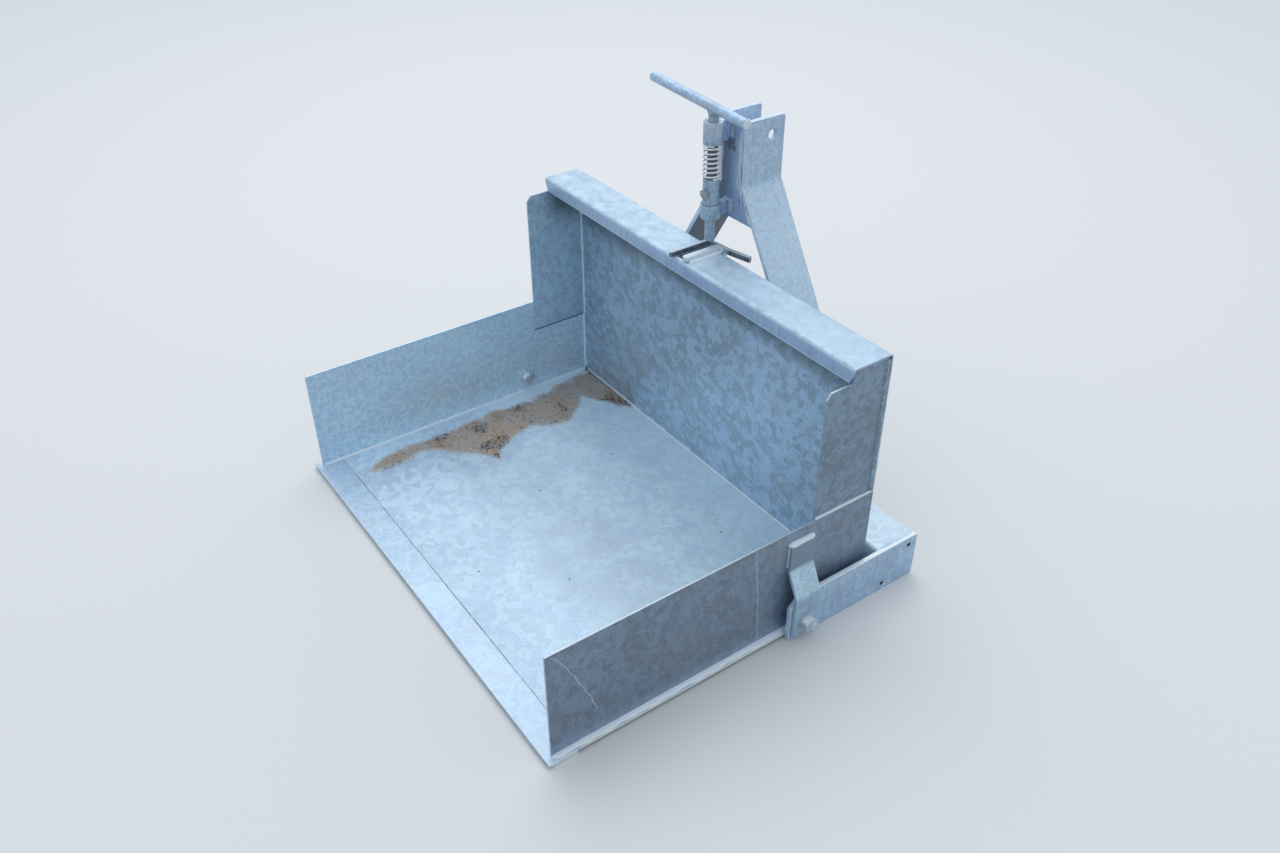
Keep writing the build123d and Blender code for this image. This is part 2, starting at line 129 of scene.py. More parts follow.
def blank(name):
    """New material, and the place on the piece that its pattern starts from."""
    stuff = bpy.data.materials.new(name)
    stuff.use_nodes = True
    return stuff, Socket(stuff.node_tree).node("TexCoord", out="Object")


def coated(stuff, colour, roughness, metallic, height, strength, depth):
    """Feeds a material's shader with its colour, roughness and metal, and with bumps of the given height."""
    normal = height.node("Bump", {}, {"Strength": strength, "Distance": depth, "Height": height})
    ends = stuff.node_tree.nodes["Principled BSDF"].inputs
    fed = {"Base Color": colour, "Roughness": roughness, "Metallic": metallic, "Normal": normal}
    for name, value in fed.items():
        height.feed(ends[name], value)
    return stuff


def galvanised(name, pale, dull, patch, crisp=0.25, streak=0.0, rough=0.46, metal=0.3, vivid=1.6, over=None):
    """Hot-dip zinc. Pale and dull patches of the given size come from noise that a second noise bends,
    crossed with random flakes, the more the crisper, and set apart the more the more vivid they are. Clouds
    shade them over a hand's breadth, grey film lies here and there, streaks run down the height, and the
    eased edges, marked by the mesh's own edge attribute, are painted pale, partly as wear and partly as
    a painted highlight."""
    stuff, here = blank(name)
    drift = here.noise(0.9 / patch, 3.0, out="Color")
    bent = here.vector("MULTIPLY_ADD", drift, (1.3 * patch,) * 3, here)
    flakes = here.node("TexVoronoi", {}, {"Vector": bent, "Scale": 1.0 / patch}, "Color")
    flake = here.node("SeparateColor", {}, {"Color": flakes})
    ragged = {"Vector": bent, "Scale": 0.9 / patch, "Detail": 5.0, "Roughness": 0.62, "Distortion": 0.8}
    feather = here.node("TexNoise", {}, ragged)
    cloud, film, grain = here.noise(4.5, 3.0), here.noise(13.0, 5.0, 0.6), here.noise(340.0, 2.0)
    fleck = here.noise(3.2 / patch, 3.0, 0.6)
    spangle = (feather * (1 - crisp) + flake * crisp).rise(0.36, 0.62)
    shade = spangle * 0.5 + cloud.rise(0.3, 0.7) * 0.22 + fleck.rise(0.3, 0.7) * 0.28 + (grain - 0.5) * 1.1
    if streak:
        combed = here.node("Mapping", {}, {"Vector": here, "Scale": (230.0, 230.0, 8.0)})
        shade = shade * (1 - streak) + combed.noise(1.0, 4.0, 0.6).rise(0.38, 0.62) * streak
    colour = ((shade - 0.5) * vivid + 0.5).blend(dull, pale)
    grey = sum(dull) / 3
    colour = (film.rise(0.5, 0.72) * 0.35).blend(colour, (0.97 * grey, 1.03 * grey, 1.07 * grey))
    # Painted highlight and wear: eased edges are painted pale by the edge attribute.
    edge = here.node("Attribute", {"attribute_name": "edge"}, out="Fac")
    bright = tuple(0.35 * c + white for c, white in zip(pale, (0.55, 0.585, 0.62)))
    colour = (edge * 0.85).blend(colour, bright)
    roughness = rough + (spangle - 0.5) * 0.12 + (grain - 0.5) * 0.1 - edge * 0.1
    metallic = metal + (flake - 0.5) * 0.15
    if over:
        colour, roughness, metallic = over(here, colour, roughness, metallic)
    height = here.noise(7.0, 2.0) + feather * 0.05 + grain * 0.02
    return coated(stuff, colour, roughness, metallic, height, 0.25, 0.006)


def unit(vectors):
    """The same directions, each at length one."""
    return vectors / np.linalg.norm(vectors, axis=1, keepdims=True)


def rounded(corners, radii=0.0, arc_steps=6):
    """Closed line through the corners, each turned on an arc of its own radius: the arc's centre lies
    radius times the mitre vector inside the corner, and the edge normals sweep round it."""
    p = np.asarray(corners, float)
    r = np.broadcast_to(np.asarray(radii, float), len(p))
    ahead = unit(np.roll(p, -1, 0) - p)
    behind = np.roll(ahead, 1, 0)
    turn = np.arctan2(behind[:, 0] * ahead[:, 1] - behind[:, 1] * ahead[:, 0], (behind * ahead).sum(1))
    side = np.sign(turn) * r
    first = np.arctan2(-behind[:, 0], behind[:, 1])
    angle = first[:, None] + np.linspace(0, 1, arc_steps + 1) * turn[:, None]
    swept = np.stack([np.cos(angle), np.sin(angle)], 2)
    points = (p - side[:, None] * mitres(p))[:, None] + side[:, None, None] * swept
    keep = np.ones(angle.shape, bool)
    keep[r == 0, 1:] = False
    return points[keep]


def mitres(loop):
    """Outward mitre vector at each point of a closed line: the two edge normals added, over one plus
    their product, so that a step along it moves both edges by the same amount."""
    ahead = unit(np.roll(loop, -1, 0) - loop)
    after = np.stack([ahead[:, 1], -ahead[:, 0]], 1)
    before = np.roll(after, 1, 0)
    return (before + after) / (1 + (before * after).sum(1))[:, None]


def quads(rows, columns, wrap=False):
    """Four-sided faces over a grid of points, closed round its rows and, where asked, its columns."""
    i, j = np.meshgrid(np.arange(rows), np.arange(columns if wrap else columns - 1), indexing="ij")
    i, j, up, over = i.ravel(), j.ravel(), (i.ravel() + 1) % rows, (j.ravel() + 1) % columns
    return np.stack([i * columns + j, up * columns + j, up * columns + over, i * columns + over], 1)


def plate(loops, thick, ease, place, ties=(), drawn=False, shine_and_wear=1.0, wall=1.0, crown=0.0, ease_steps=3):
    """Plate cut to closed lines, the outline first and then the holes, with eased edges. A rim point is
    the line's point moved in along its mitre by ease (1 - cos a) at the height that ease sin a gives, as
    a goes from face to face; the two faces are the inset lines filled. ties are pairs of outline points
    joined across the faces, for folds. place turns (along, across, through) into the object's frame. The
    outer rim is painted pale, partly as wear and partly as painted highlight, by the wear-and-highlight
    argument, a number or a rule of the line's points, its straight wall by wall times that, and the upper
    side by crown as painted highlight; on a long bar drawn out from its section the corners are."""
    quarter = np.radians(np.linspace(0, 90, ease_steps + 1))
    lean = np.concatenate([quarter - np.pi / 2, quarter])
    step_in = ease * (1 - np.cos(lean))
    level = np.repeat([-1, 1], ease_steps + 1) * (thick / 2 - ease) + ease * np.sin(lean)
    rows = len(lean)
    round_part = np.ones(ease_steps - 1)
    rim = np.r_[0.0, round_part, wall, wall, round_part, 0.0]
    upper = crown * np.r_[np.zeros(ease_steps + 2), np.ones(ease_steps)]
    points, faces, ends, edges, lit_and_worn = [], [], [], [], []
    first = 0
    for number, loop in enumerate(loops):
        loop = np.asarray(loop, float)
        area = (loop[:, 0] * np.roll(loop[:, 1], -1) - loop[:, 1] * np.roll(loop[:, 0], -1)).sum()
        loop = loop if (area > 0) == (number == 0) else loop[::-1]
        flat = loop[:, None] - mitres(loop)[:, None] * step_in[None, :, None]
        points.append(np.dstack([flat, np.broadcast_to(level, flat.shape[:2])]).reshape(-1, 3))
        faces.append(quads(len(loop), rows) + first * rows)
        ends.append(flat[:, 0])
        point_shine_and_wear = np.full(len(loop), 0.1)
        if number == 0:
            point_shine_and_wear = shine_and_wear(*loop.T) if callable(shine_and_wear) else np.full(len(loop), shine_and_wear)
        bend = 1 - 1 / (mitres(loop) ** 2).sum(1)
        corner = np.clip(2 * np.sqrt(bend / bend.max()) - 1, 0, 1)
        rim_shine_and_wear = np.maximum(point_shine_and_wear[:, None] * rim, upper).ravel()
        lit_and_worn.append(np.repeat(point_shine_and_wear * corner, rows) if drawn else rim_shine_and_wear)
        around = np.arange(len(loop))
        edges.append(np.stack([around, np.roll(around, -1)], 1) + first)
        first += len(loop)
    ring = np.concatenate(ends)
    links = np.concatenate(edges).tolist() + [list(t) for t in ties]
    _, _, triangles, origin, _, _ = delaunay_2d_cdt([Vector(v) for v in ring], links, [], 1, 1e-7)
    triangles = np.array([[origin[v][0] for v in t] for t in triangles])
    middle = ring[triangles].mean(1)
    for hole in ends[1:]:
        ahead = np.roll(hole, -1, 0) - hole
        reach = ((middle[:, None] - hole) * np.stack([ahead[:, 1], -ahead[:, 0]], 1)).sum(2)
        kept = (reach < 0).any(1)
        triangles, middle = triangles[kept], middle[kept]
    bottom, top = triangles * rows, triangles[:, ::-1] * rows + rows - 1
    verts = np.stack(place(*np.concatenate(points).T), 1)
    return verts, np.concatenate(faces).tolist(), bottom.tolist() + top.tolist(), np.concatenate(lit_and_worn)


def joined(*shells):
    """Several shells as one mesh: points one after the other, faces counted on."""
    starts = np.cumsum([0] + [len(s[0]) for s in shells])
    shift = lambda part: [[v + n for v in f] for s, n in zip(shells, starts) for f in s[part]]
    return np.concatenate([s[0] for s in shells]), shift(1), shift(2), np.concatenate([s[3] for s in shells])


def placed(name, data):
    """New object at the origin, linked into the scene."""
    made = bpy.data.objects.new(name, data)
    bpy.context.collection.objects.link(made)
    return made


def piece(name, shell, body, finish, node=None):
    """A shell as a mesh of its own: curved faces smooth, flat faces flat, all facing outwards; it rides
    on its body and stands for its solid."""
    verts, curved, flat, lit_and_worn = shell
    mesh = bpy.data.meshes.new(name)
    mesh.from_pydata(verts.tolist(), [], curved + flat)
    mesh.polygons.foreach_set("use_smooth", [True] * len(curved) + [False] * len(flat))
    mesh.attributes.new("edge", "FLOAT", "POINT").data.foreach_set("value", lit_and_worn)
    work = bmesh.new()
    work.from_mesh(mesh)
    bmesh.ops.recalc_face_normals(work, faces=work.faces)
    work.to_mesh(mesh)
    work.free()
    mesh.set_sharp_from_angle(angle=math.radians(40))
    mesh.materials.append(finish)
    made = placed(name, mesh)
    if body:
        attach(made, body)
    if node:
        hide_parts(node)
    return made


def upright(middle=0.0):
    """Stands a plate that is drawn in (y, z) upright, with its middle plane at one x."""
    return lambda y, z, x: (middle + x, y, z)


blade_half = 0.513
blade_profile = rounded([(-0.455, 0.012), (-0.455, 0.006), (-0.441, 0.0), (-0.395, 0.0), (-0.395, 0.012)],
                        [0.0016, 0.0012, 0.004, 0.001, 0.0006])


def lit_ends(here, colour, *rest):
    """Painted light: the two cut ends are painted pale, from just inside each end outwards."""
    x, = here.axes("X")
    end = abs(x).rise(blade_half - 0.0018, blade_half - 0.0006)
    return (end * 0.85).blend(colour, (0.93, 1.0, 1.0)), *rest


zinc_blade = galvanised("zinc_blade", (0.62, 0.78, 0.93), (0.48, 0.63, 0.79), 0.010, metal=0.35, vivid=2.0,
                        over=lit_ends)
blade = plate([blade_profile], 2 * blade_half, 0.0004, upright(), drawn=True)
piece("blade", blade, "bucket", zinc_blade, "cutting_blade")


# FLOOR PLATE
# The bucket's floor, a 4 mm steel sheet that stands a little proud of the sides for their welds.
# Its front edge was cut by hand, so the seam to the blade wanders; wet sand dried on the left of it.

def sand_and_painted_light(here, colour, roughness, metallic):
    """Painted light: the floor is painted paler towards the back, and scaled darker across the middle and
    lighter at the back and beside the left wall, against the shade of the walls. Dried sand lies between
    two wandering lines beside that wall, read off ramps over the floor's length, with coarse grains, a
    browner rim and dark crumbs in clumps; a few crumbs lie further out and in the back corner."""
    spot, length, height = here.axes()
    along = length.rise(-0.40, 0.28, "LINEAR")
    above = height.rise(0.0100, 0.0112)
    drift, haze = here.noise(26.0, 6.0, 0.7), here.noise(14.0, 4.0, 0.6)
    grains, crumb = here.noise(380.0, 3.0, 0.7), here.noise(150.0, 4.0, 0.75)
    # Painted light: paler towards the back, and a gain that darkens the middle and lightens the back and the
    # strip beside the left wall.
    colour = (along.rise(0.15, 0.6) * 0.3).blend(colour, (0.71, 0.90, 1.0))
    colour = (haze.rise(0.44, 0.64) * 0.3).blend(colour, (0.44, 0.59, 0.84))
    painted_light_gain = 0.98 - along.rise(0.18, 0.36) * 0.12 + along.rise(0.44, 0.62) * 0.16 + along.rise(0.82, 1.0) * 0.2
    painted_light_gain = painted_light_gain + spot.fall(-0.47, -0.38) * 0.2
    colour = here.node("VectorMath", {"operation": "SCALE"}, {0: colour, "Scale": painted_light_gain})
    colour = here.vector("MINIMUM", colour, (0.73, 0.89, 1.0))
    outer = here.node("ValToRGB", {"stops": [
        (0.0, 0.10), (0.06, 0.225), (0.188, 0.228), (0.253, 0.193), (0.312, 0.278), (0.40, 0.413),
        (0.44, 0.52), (0.481, 0.44), (0.554, 0.38), (0.632, 0.353), (0.70, 0.418), (0.753, 0.438),
        (0.807, 0.375), (0.876, 0.248), (0.94, 0.44), (0.971, 0.51), (1.0, 0.52)]}, {"Fac": along})
    inner = here.node("ValToRGB", {"stops": [
        (0.0, 0.30), (0.0735, 0.173), (0.1485, 0.11), (0.309, 0.098), (0.479, 0.105), (0.565, 0.083),
        (0.719, 0.105), (0.866, 0.048), (0.971, 0.04), (1.0, 0.0)]}, {"Fac": along})
    off = spot + 0.492 + (drift - 0.5) * 0.045
    loose = (grains - 0.5) * 0.055
    within = (outer * 0.4 - off + loose).rise(-0.010, 0.012)
    film = within * (off - inner * 0.4 + loose).rise(-0.008, 0.010) * above
    sand = grains.rise(0.3, 0.7) * 0.6 + drift.rise(0.3, 0.7) * 0.4
    sand = sand.blend((0.26, 0.195, 0.15), (0.56, 0.445, 0.355))
    sand = (film * (1 - film) * 2.0).blend(sand, (0.39, 0.295, 0.22))
    clump = haze.rise(0.50, 0.60)
    sand = (clump * 0.4).blend(sand, (0.16, 0.13, 0.095))
    dark = crumb.rise(0.50, 0.56) * clump + crumb.rise(0.60, 0.63)
    colour = (film * (0.75 + drift.rise(0.35, 0.6) * 0.25)).blend(colour, sand)
    colour = (film * dark * 0.95).blend(colour, (0.03, 0.026, 0.022))
    seam = length.rise(0.2700, 0.2725) * spot.fall(-0.40, -0.34)
    nook = spot.fall(-0.489, -0.474) * length.rise(0.252, 0.268) * crumb.rise(0.42, 0.50)
    colour = ((seam + nook) * above * 0.8).blend(colour, (0.035, 0.03, 0.026))
    dots = here.node("TexVoronoi", {"voronoi_dimensions": "2D"}, {"Vector": here, "Scale": 4.0}, "Distance")
    colour = (dots.fall(0.007, 0.012) * above * 0.85).blend(colour, (0.05, 0.045, 0.04))
    rust = (1 - along.rise(0.0085, 0.0110, "LINEAR")) * drift.rise(0.40, 0.56)
    colour = (rust * 0.7).blend(colour, (0.28, 0.19, 0.14))
    lit_and_worn = along.rise(0.40, 0.65) * 0.24
    return lit_ends(here, colour, roughness + film * 0.42, metallic - lit_and_worn - film * 0.2)


floor_front, floor_back, floor_mid, floor_thick = -0.3944, 0.280, 0.010, 0.004
zinc_floor = galvanised("zinc_floor", (0.66, 0.82, 0.95), (0.43, 0.57, 0.71), 0.014, crisp=0.45, metal=0.35,
                        vivid=1.1, over=sand_and_painted_light)
cut = np.linspace(-blade_half, blade_half, 120)
wander = 0.0003 * np.sin(cut * 13) + 0.0002 * np.sin(cut * 47 + 1) + 0.0002 * np.sin(cut * 131)
floor_outline = np.concatenate([np.stack([cut, floor_front + wander], 1),
                                [(blade_half, floor_back), (-blade_half, floor_back)]])
floor = plate([floor_outline], floor_thick, 0.0007, lambda x, y, z: (x, y, floor_mid + z), shine_and_wear=0.5)
piece("floor", floor, "bucket", zinc_floor, "floor_plate")


# SIDE PLATES
# Two 4 mm steel sheets that stand on the floor, drilled for the pivot bolts.
# They are welded to the floor outside, and their top edges are dressed smooth.

hands = (("right", 1), ("left", -1))
side_front, side_back, side_foot, side_top = -0.442, 0.280, 0.012, 0.252
side_in, side_mid, side_out = 0.496, 0.498, 0.500
sheet_thick, sheet_ease = 0.004, 0.0009
pivot_y, pivot_z, bolt_hole = 0.103, 0.046, 0.01025


def dial(steps):
    """Angles of so many even steps round a circle."""
    return np.linspace(0, 2 * np.pi, steps, endpoint=False)


def circle(y, z, radius, sides=40):
    """Round hole as a closed line."""
    a = dial(sides)
    return np.stack([y + radius * np.cos(a), z + radius * np.sin(a)], 1)


def oblong(left, low, right, high, radii=0.0):
    """Rectangle between two opposite corners as a closed line."""
    return rounded([(left, low), (right, low), (right, high), (left, high)], radii)


def lap_shadow(here, colour, *rest):
    """Painted shadow: a dark line on the inner faces just under the foot of the cheeks, where the two
    sheets lap; outside the zinc is bluer near the foot and has small pale specks."""
    x, y, z = here.axes()
    seam = abs(z - 0.1745).fall(0.0014, 0.0028) * y.rise(0.128, 0.136) * (0.4975 - abs(x)).rise(0.0, 0.001)
    outer = abs(x).rise(0.4985, 0.4995)
    colour = (outer * z.fall(0.012, 0.050) * 0.4).blend(colour, (0.38, 0.53, 0.72))
    speck = here.node("TexVoronoi", {}, {"Vector": here, "Scale": 60.0}, "Distance")
    colour = (outer * speck.fall(0.05, 0.10) * 0.5).blend(colour, (0.62, 0.72, 0.82))
    return (seam * 0.85).blend(colour, (0.05, 0.06, 0.07)), *rest


# Painted shade: the right plate's zinc is a darker copy of the left plate's, for the shade on that side.
zinc_side = {
    "right": galvanised("zinc_side_right_shaded", (0.29, 0.385, 0.51), (0.19, 0.245, 0.315), 0.016, crisp=0.2,
                        streak=0.08, rough=0.42, metal=0.4, over=lap_shadow),
    "left": galvanised("zinc_side_left", (0.71, 0.91, 1.0), (0.53, 0.71, 0.90), 0.008, streak=0.12,
                       rough=0.42, metal=0.36, vivid=2.3, over=lap_shadow),
}
side_outline = oblong(side_front, side_foot, side_back, side_top, [0, 0, 0, 0.003])
for side, hand in hands:
    sheet = plate([side_outline, circle(pivot_y, pivot_z, bolt_hole)], sheet_thick, sheet_ease,
                  upright(hand * side_mid), shine_and_wear=lambda y, z: np.where(y > 0.27, 0.3, 1.0))
    piece("side_" + side, sheet, "bucket", zinc_side[side], "side_plate_" + side)


# BACK SHEET
# One 4 mm steel sheet folded over a brake: the back wall, the flange on top and the lip in front of it.
# The flange is slotted for the latch rod, and the wall is notched to sit between the side plates.

def folded(corners, radius):
    """Line bent over a former: arc length, points and unit normals along it, from the corners with an
    arc at each inner one."""
    line = rounded(corners, np.r_[0.0, np.full(len(corners) - 2, radius), 0.0], 8)
    run = np.diff(line, axis=0)
    length = np.linalg.norm(run, axis=1)
    run = unit(run)
    run = unit(np.concatenate([run[:1], run[:-1] + run[1:], run[-1:]]))
    return np.r_[0.0, np.cumsum(length)], line, np.stack([run[:, 1], -run[:, 0]], 1)


def on_fold(fold, along, through):
    """Place on a folded line of a point so far along it and so far out along its normal."""
    knots, line, normal = fold
    at = lambda column: np.interp(along, knots, column)
    return at(line[:, 0]) + through * at(normal[:, 0]), at(line[:, 1]) + through * at(normal[:, 1])


def strip(stations, low, high, corner=0.0):
    """Outline of a strip from its two edges at each station, with the first end's corners rounded, and
    the pairs of points that face each other across it."""
    count, extra = len(stations), 6 if corner else 0
    edge = lambda level: np.stack([stations, np.broadcast_to(level, count)], 1)
    radii = np.zeros(2 * count)
    radii[[0, -1]] = corner
    k = np.arange(1, count - 1) + extra
    outline = rounded(np.concatenate([edge(low), edge(high)[::-1]]), radii)
    return outline, np.stack([k, 2 * (count + extra) - 1 - k], 1)


back_fold = folded([(0.278, 0.012), (0.278, 0.554), (0.189, 0.554), (0.189, 0.525)], 0.006)
back_length = back_fold[0][-1]
notch, lip_trim = side_top - side_foot, back_length - 0.023
stations = np.sort(np.r_[back_fold[0], notch, notch + 1e-5])
half = np.interp(stations, [0, notch, notch + 1e-5, lip_trim, back_length],
                 [side_in, side_in, side_out, side_out, 0.490])
back_outline, back_ties = strip(stations, -half, half)
slot_from, slot_to, slot_half = 0.5466, 0.6204, 0.011
slot_hole = oblong(slot_from, -slot_half, slot_to, slot_half, 0.002)
bends = stations[1:-1] > notch + 0.001


def flange_bloom_and_shade(here, colour, roughness, metallic):
    """The flange's upper side is paler and smeared, below its bend the lip is streaked down its height
    to a bright cut edge, and a broken dark crease marks the right half of the bend. Painted shade
    darkens the hollow under the flange and the walls of the slot."""
    x, y, z = here.axes()
    top = z.rise(0.5490, 0.5535)
    lip = (1 - top) * y.fall(0.1895, 0.1905)
    combed = here.node("Mapping", {}, {"Vector": here, "Scale": (330.0, 1.0, 16.0)})
    fine = combed.noise(1.0, 3.0).rise(0.3, 0.7)
    where = here.noise(16.0, 2.0).rise(0.42, 0.62)
    streaks = (fine - 0.5) * (where * 0.8 + 0.2) + 0.5
    smear = here.noise(38.0, 5.0, 0.65).rise(0.34, 0.66).blend((0.46, 0.61, 0.76), (0.67, 0.82, 0.95))
    bloom = (x.rise(0.0, 0.35) * 0.5).blend(smear, (0.43, 0.58, 0.71))
    colour = (top * 0.7).blend(colour, bloom)
    colour = (lip * 0.85).blend(colour, streaks.blend((0.30, 0.44, 0.66), (0.46, 0.64, 0.89)))
    colour = (lip * z.fall(0.5266, 0.5280) * 0.8).blend(colour, (0.80, 0.92, 1.0))
    # Painted shade: the hollow under the flange and the slot's walls are painted dark.
    hollow = y.rise(0.1895, 0.1905) * z.fall(0.5525, 0.5535)
    slot_wall = abs(x).fall(0.0112, 0.0124) * z.fall(0.5550, 0.5557)
    slot_wall = slot_wall * y.rise(0.193, 0.195) * y.fall(0.2730, 0.2740)
    dark = here.maths("MAXIMUM", hollow * z.rise(0.40, 0.46) * 0.7, slot_wall * 0.9)
    colour = (dark * y.fall(0.2764, 0.2768)).blend(colour, (0.06, 0.08, 0.09))
    crease = top * abs(y - 0.1915).fall(0.0004, 0.0014) * x.rise(0.05, 0.2)
    broken = here.noise(55.0, 5.0).rise(0.48, 0.60)
    colour = (crease * broken * 0.6).blend(colour, (0.20, 0.18, 0.18))
    return colour, roughness + top * 0.06, metallic - (top + lip) * 0.22


zinc_back = galvanised("zinc_back", (0.56, 0.74, 0.93), (0.28, 0.39, 0.47), 0.017, crisp=0.35, rough=0.38,
                       metal=0.42, vivid=1.05, over=flange_bloom_and_shade)


def back_place(along, across, through):
    """Bends the flat sheet along its fold."""
    y, z = on_fold(back_fold, along, through)
    return across, y, z


back = plate([back_outline, slot_hole], sheet_thick, sheet_ease, back_place, back_ties[bends],
             shine_and_wear=lambda along, across: np.where(along > lip_trim, 0.8, 0.2))
piece("back", back, "bucket", zinc_back, "back_sheet")


# CHEEKS
# Two 4 mm steel plates that close the ends of the flange and stiffen the back wall's corners.
# They lap inside the side plates and are welded to wall, flange and side.

def shaded_corner(here, colour, *rest):
    """Painted shade, dark on the inner face under the flange and deeper towards the back corner."""
    x, y, z = here.axes()
    under_flange_shade = abs(x).fall(0.4925, 0.4935) * y.rise(0.165, 0.225) * z.rise(0.42, 0.50)
    return (under_flange_shade * 0.65).blend(colour, (0.07, 0.09, 0.10)), *rest


# Painted shade: the right cheek's zinc is a darker copy of the left cheek's, for the shade on that side.
zinc_cheek = {
    "right": galvanised("zinc_cheek_right_shaded", (0.305, 0.425, 0.57), (0.195, 0.27, 0.35), 0.014, rough=0.42,
                        metal=0.4, over=shaded_corner),
    "left": galvanised("zinc_cheek_left", (0.56, 0.74, 0.87), (0.38, 0.52, 0.63), 0.012, rough=0.42,
                       metal=0.4, over=shaded_corner),
}
cheek_in, cheek_mid = 0.492, 0.494
cheek_outline = rounded([(0.132, 0.178), (0.276, 0.178), (0.276, 0.5475), (0.2715, 0.552), (0.196, 0.552),
                         (0.1915, 0.5475), (0.1915, 0.5245), (0.142, 0.5245), (0.132, 0.5115)],
                        [0.001, 0, 0, 0, 0, 0, 0, 0.003, 0.003])
for side, hand in hands:
    cheek = plate([cheek_outline], sheet_thick, sheet_ease, upright(hand * cheek_mid),
                  shine_and_wear=lambda y, z: np.where((z > 0.512) & (y < 0.19), 1.0, 0.15))
    piece("cheek_" + side, cheek, "bucket", zinc_cheek[side], "cheek_" + side)


# HINGE LUGS
# Cranked flat steel bars, 58 by 8 mm, welded to the outside of the side plates.
# They carry the outer ends of the pivot bolts, so the frame's arms run between lug and plate.

def shaded_uprights(here, colour, *rest):
    """Painted shade: the upright ends are painted grey, the right one's upper end most and the lower ends
    less; the slope between them is left bright."""
    x, z = here.axes("XZ")
    upper = z.rise(0.158, 0.170) * (0.3 + x.rise(-0.1, 0.1) * 0.6)
    colour = upper.blend(colour, (0.235, 0.315, 0.405))
    return (z.fall(0.100, 0.112) * 0.35).blend(colour, (0.30, 0.40, 0.51)), *rest


zinc_crank = galvanised("zinc_crank", (0.64, 0.90, 1.0), (0.43, 0.63, 0.85), 0.012, streak=0.2, rough=0.44,
                        over=shaded_uprights)
lug_fold = folded([(0.504, 0.222), (0.504, 0.164), (0.530, 0.111), (0.530, 0.012)], 0.014)
lug_low, lug_high, lug_thick, bar_ease = 0.074, 0.132, 0.008, 0.0011
lug_outline, lug_ties = strip(lug_fold[0], lug_low, lug_high)
lug_hole = circle(lug_fold[0][-1] - (pivot_z - 0.012), pivot_y, bolt_hole)


def lug_place(along, across, through):
    """Bends the flat bar along its fold, and turns it over for the left side."""
    x, z = on_fold(lug_fold, along, through)
    return hand * x, across, z


for side, hand in hands:
    lug = plate([lug_outline, lug_hole], lug_thick, bar_ease, lug_place, lug_ties, shine_and_wear=0.8, wall=0.15)
    piece("lug_" + side, lug, "bucket", zinc_crank, "hinge_lug_" + side)


# PIVOT BOLTS
# An M20 bolt through side plate, sleeve and lug on each side, its head inside the bucket.
# A turned sleeve keeps lug and plate apart; washer and nut outside, all zinc plated.

def plated(name, shade, rough, metal, fade):
    """Bright zinc plating: an even silver shade with fine grain, faded and dulled where clouds thicken;
    whiter and less like metal where the mesh's edge attribute marks a painted highlight."""
    stuff, here = blank(name)
    cloud, grain = here.noise(90.0, 4.0).rise(0.35, 0.7), here.noise(1500.0, 1.0)
    colour = (cloud * 0.6 + grain * 0.3).blend(shade, tuple(fade * c for c in shade))
    shine_on_facets = here.node("Attribute", {"attribute_name": "edge"}, out="Fac")
    colour = (shine_on_facets * 0.9).blend(colour, (0.90, 0.97, 1.0))
    return coated(stuff, colour, rough + cloud * 0.2, metal - shine_on_facets * metal, grain + cloud, 0.15, 0.0004)


def caps(sides, rows):
    """Two end faces of a grid that closes round an axis: the first and the last points of its rows."""
    first = np.arange(sides) * rows
    return [first.tolist(), (first + rows - 1).tolist()]


def lathe_shell(radius, angle, length, place, bored, lit_and_worn=0.0):
    """Shell over a grid of radius and length round an axis, open through the middle or shut by two faces."""
    across, up = radius * np.cos(angle), radius * np.sin(angle)
    length = np.broadcast_to(length, across.shape)
    verts = np.stack(place(across.ravel(), up.ravel(), length.ravel()), 1)
    ends = [] if bored else caps(*across.shape)
    return verts, quads(*across.shape, bored).tolist(), ends, np.broadcast_to(lit_and_worn, across.shape).ravel()


def turned(profile, place, sides=48, bored=False, lit_and_worn=0.0):
    """Turned piece: a profile of (radius, length) pairs carried round an axis. A bored one's profile
    closes on itself; a solid one ends in two flat faces. The last argument says how pale each pair is
    painted, partly as wear and partly as painted highlight."""
    radius, length = np.array(profile, float).T
    return lathe_shell(radius, dial(sides)[:, None], length, place, bored, lit_and_worn)


def hexagon(width, height, bore, place, facet_shine=0.0, sides=72):
    """Nut or bolt head: the radius is half the width over the cosine of the angle from the nearest flat,
    and a 30 degree cone takes the corners off both ends, more where the radius is larger. A painted
    highlight lies on the upper front flats, as the square of the cosine of the angle from there."""
    a = dial(sides)
    flat = width / 2 / np.cos((a + np.pi / 6) % (np.pi / 3) - np.pi / 6)
    round_off = np.full(sides, 0.475 * width)
    drop = (flat - round_off) * math.tan(math.pi / 6)
    inner, low, high = np.full(sides, bore), np.zeros(sides), np.full(sides, height)
    radius = np.stack([inner, round_off, flat, flat, round_off, inner], 1)
    length = np.stack([low, low, drop, height - drop, high, high], 1)
    shine_on_facets = facet_shine * np.clip(np.cos(a - 0.7 * np.pi), 0, 1)[:, None] ** 2 * np.array([0, 0.3, 1, 1, 0.3, 0])
    return lathe_shell(radius, a[:, None], length, place, True, shine_on_facets)


def threaded(radius, low, high, pitch, place, sides=36):
    """Bolt end with a thread: the radius falls by a triangle wave of length over pitch less the turn, and
    the last pitch tapers to a chamfer."""
    a = dial(sides)[:, None]
    length = np.linspace(low, high, int((high - low) / pitch * 6) + 2)
    tooth = np.abs((length / pitch - a / (2 * np.pi)) % 1 - 0.5) * 2
    depth = 0.6 * pitch * tooth + np.clip(length - (high - pitch), 0, None) * 0.8
    return lathe_shell(radius - depth, a, length, place, False)


def along_pivot(across, up, length):
    """Lays a turned piece on the pivot's axis, so far out from the bucket's middle."""
    return hand * length, pivot_y + across, pivot_z + up


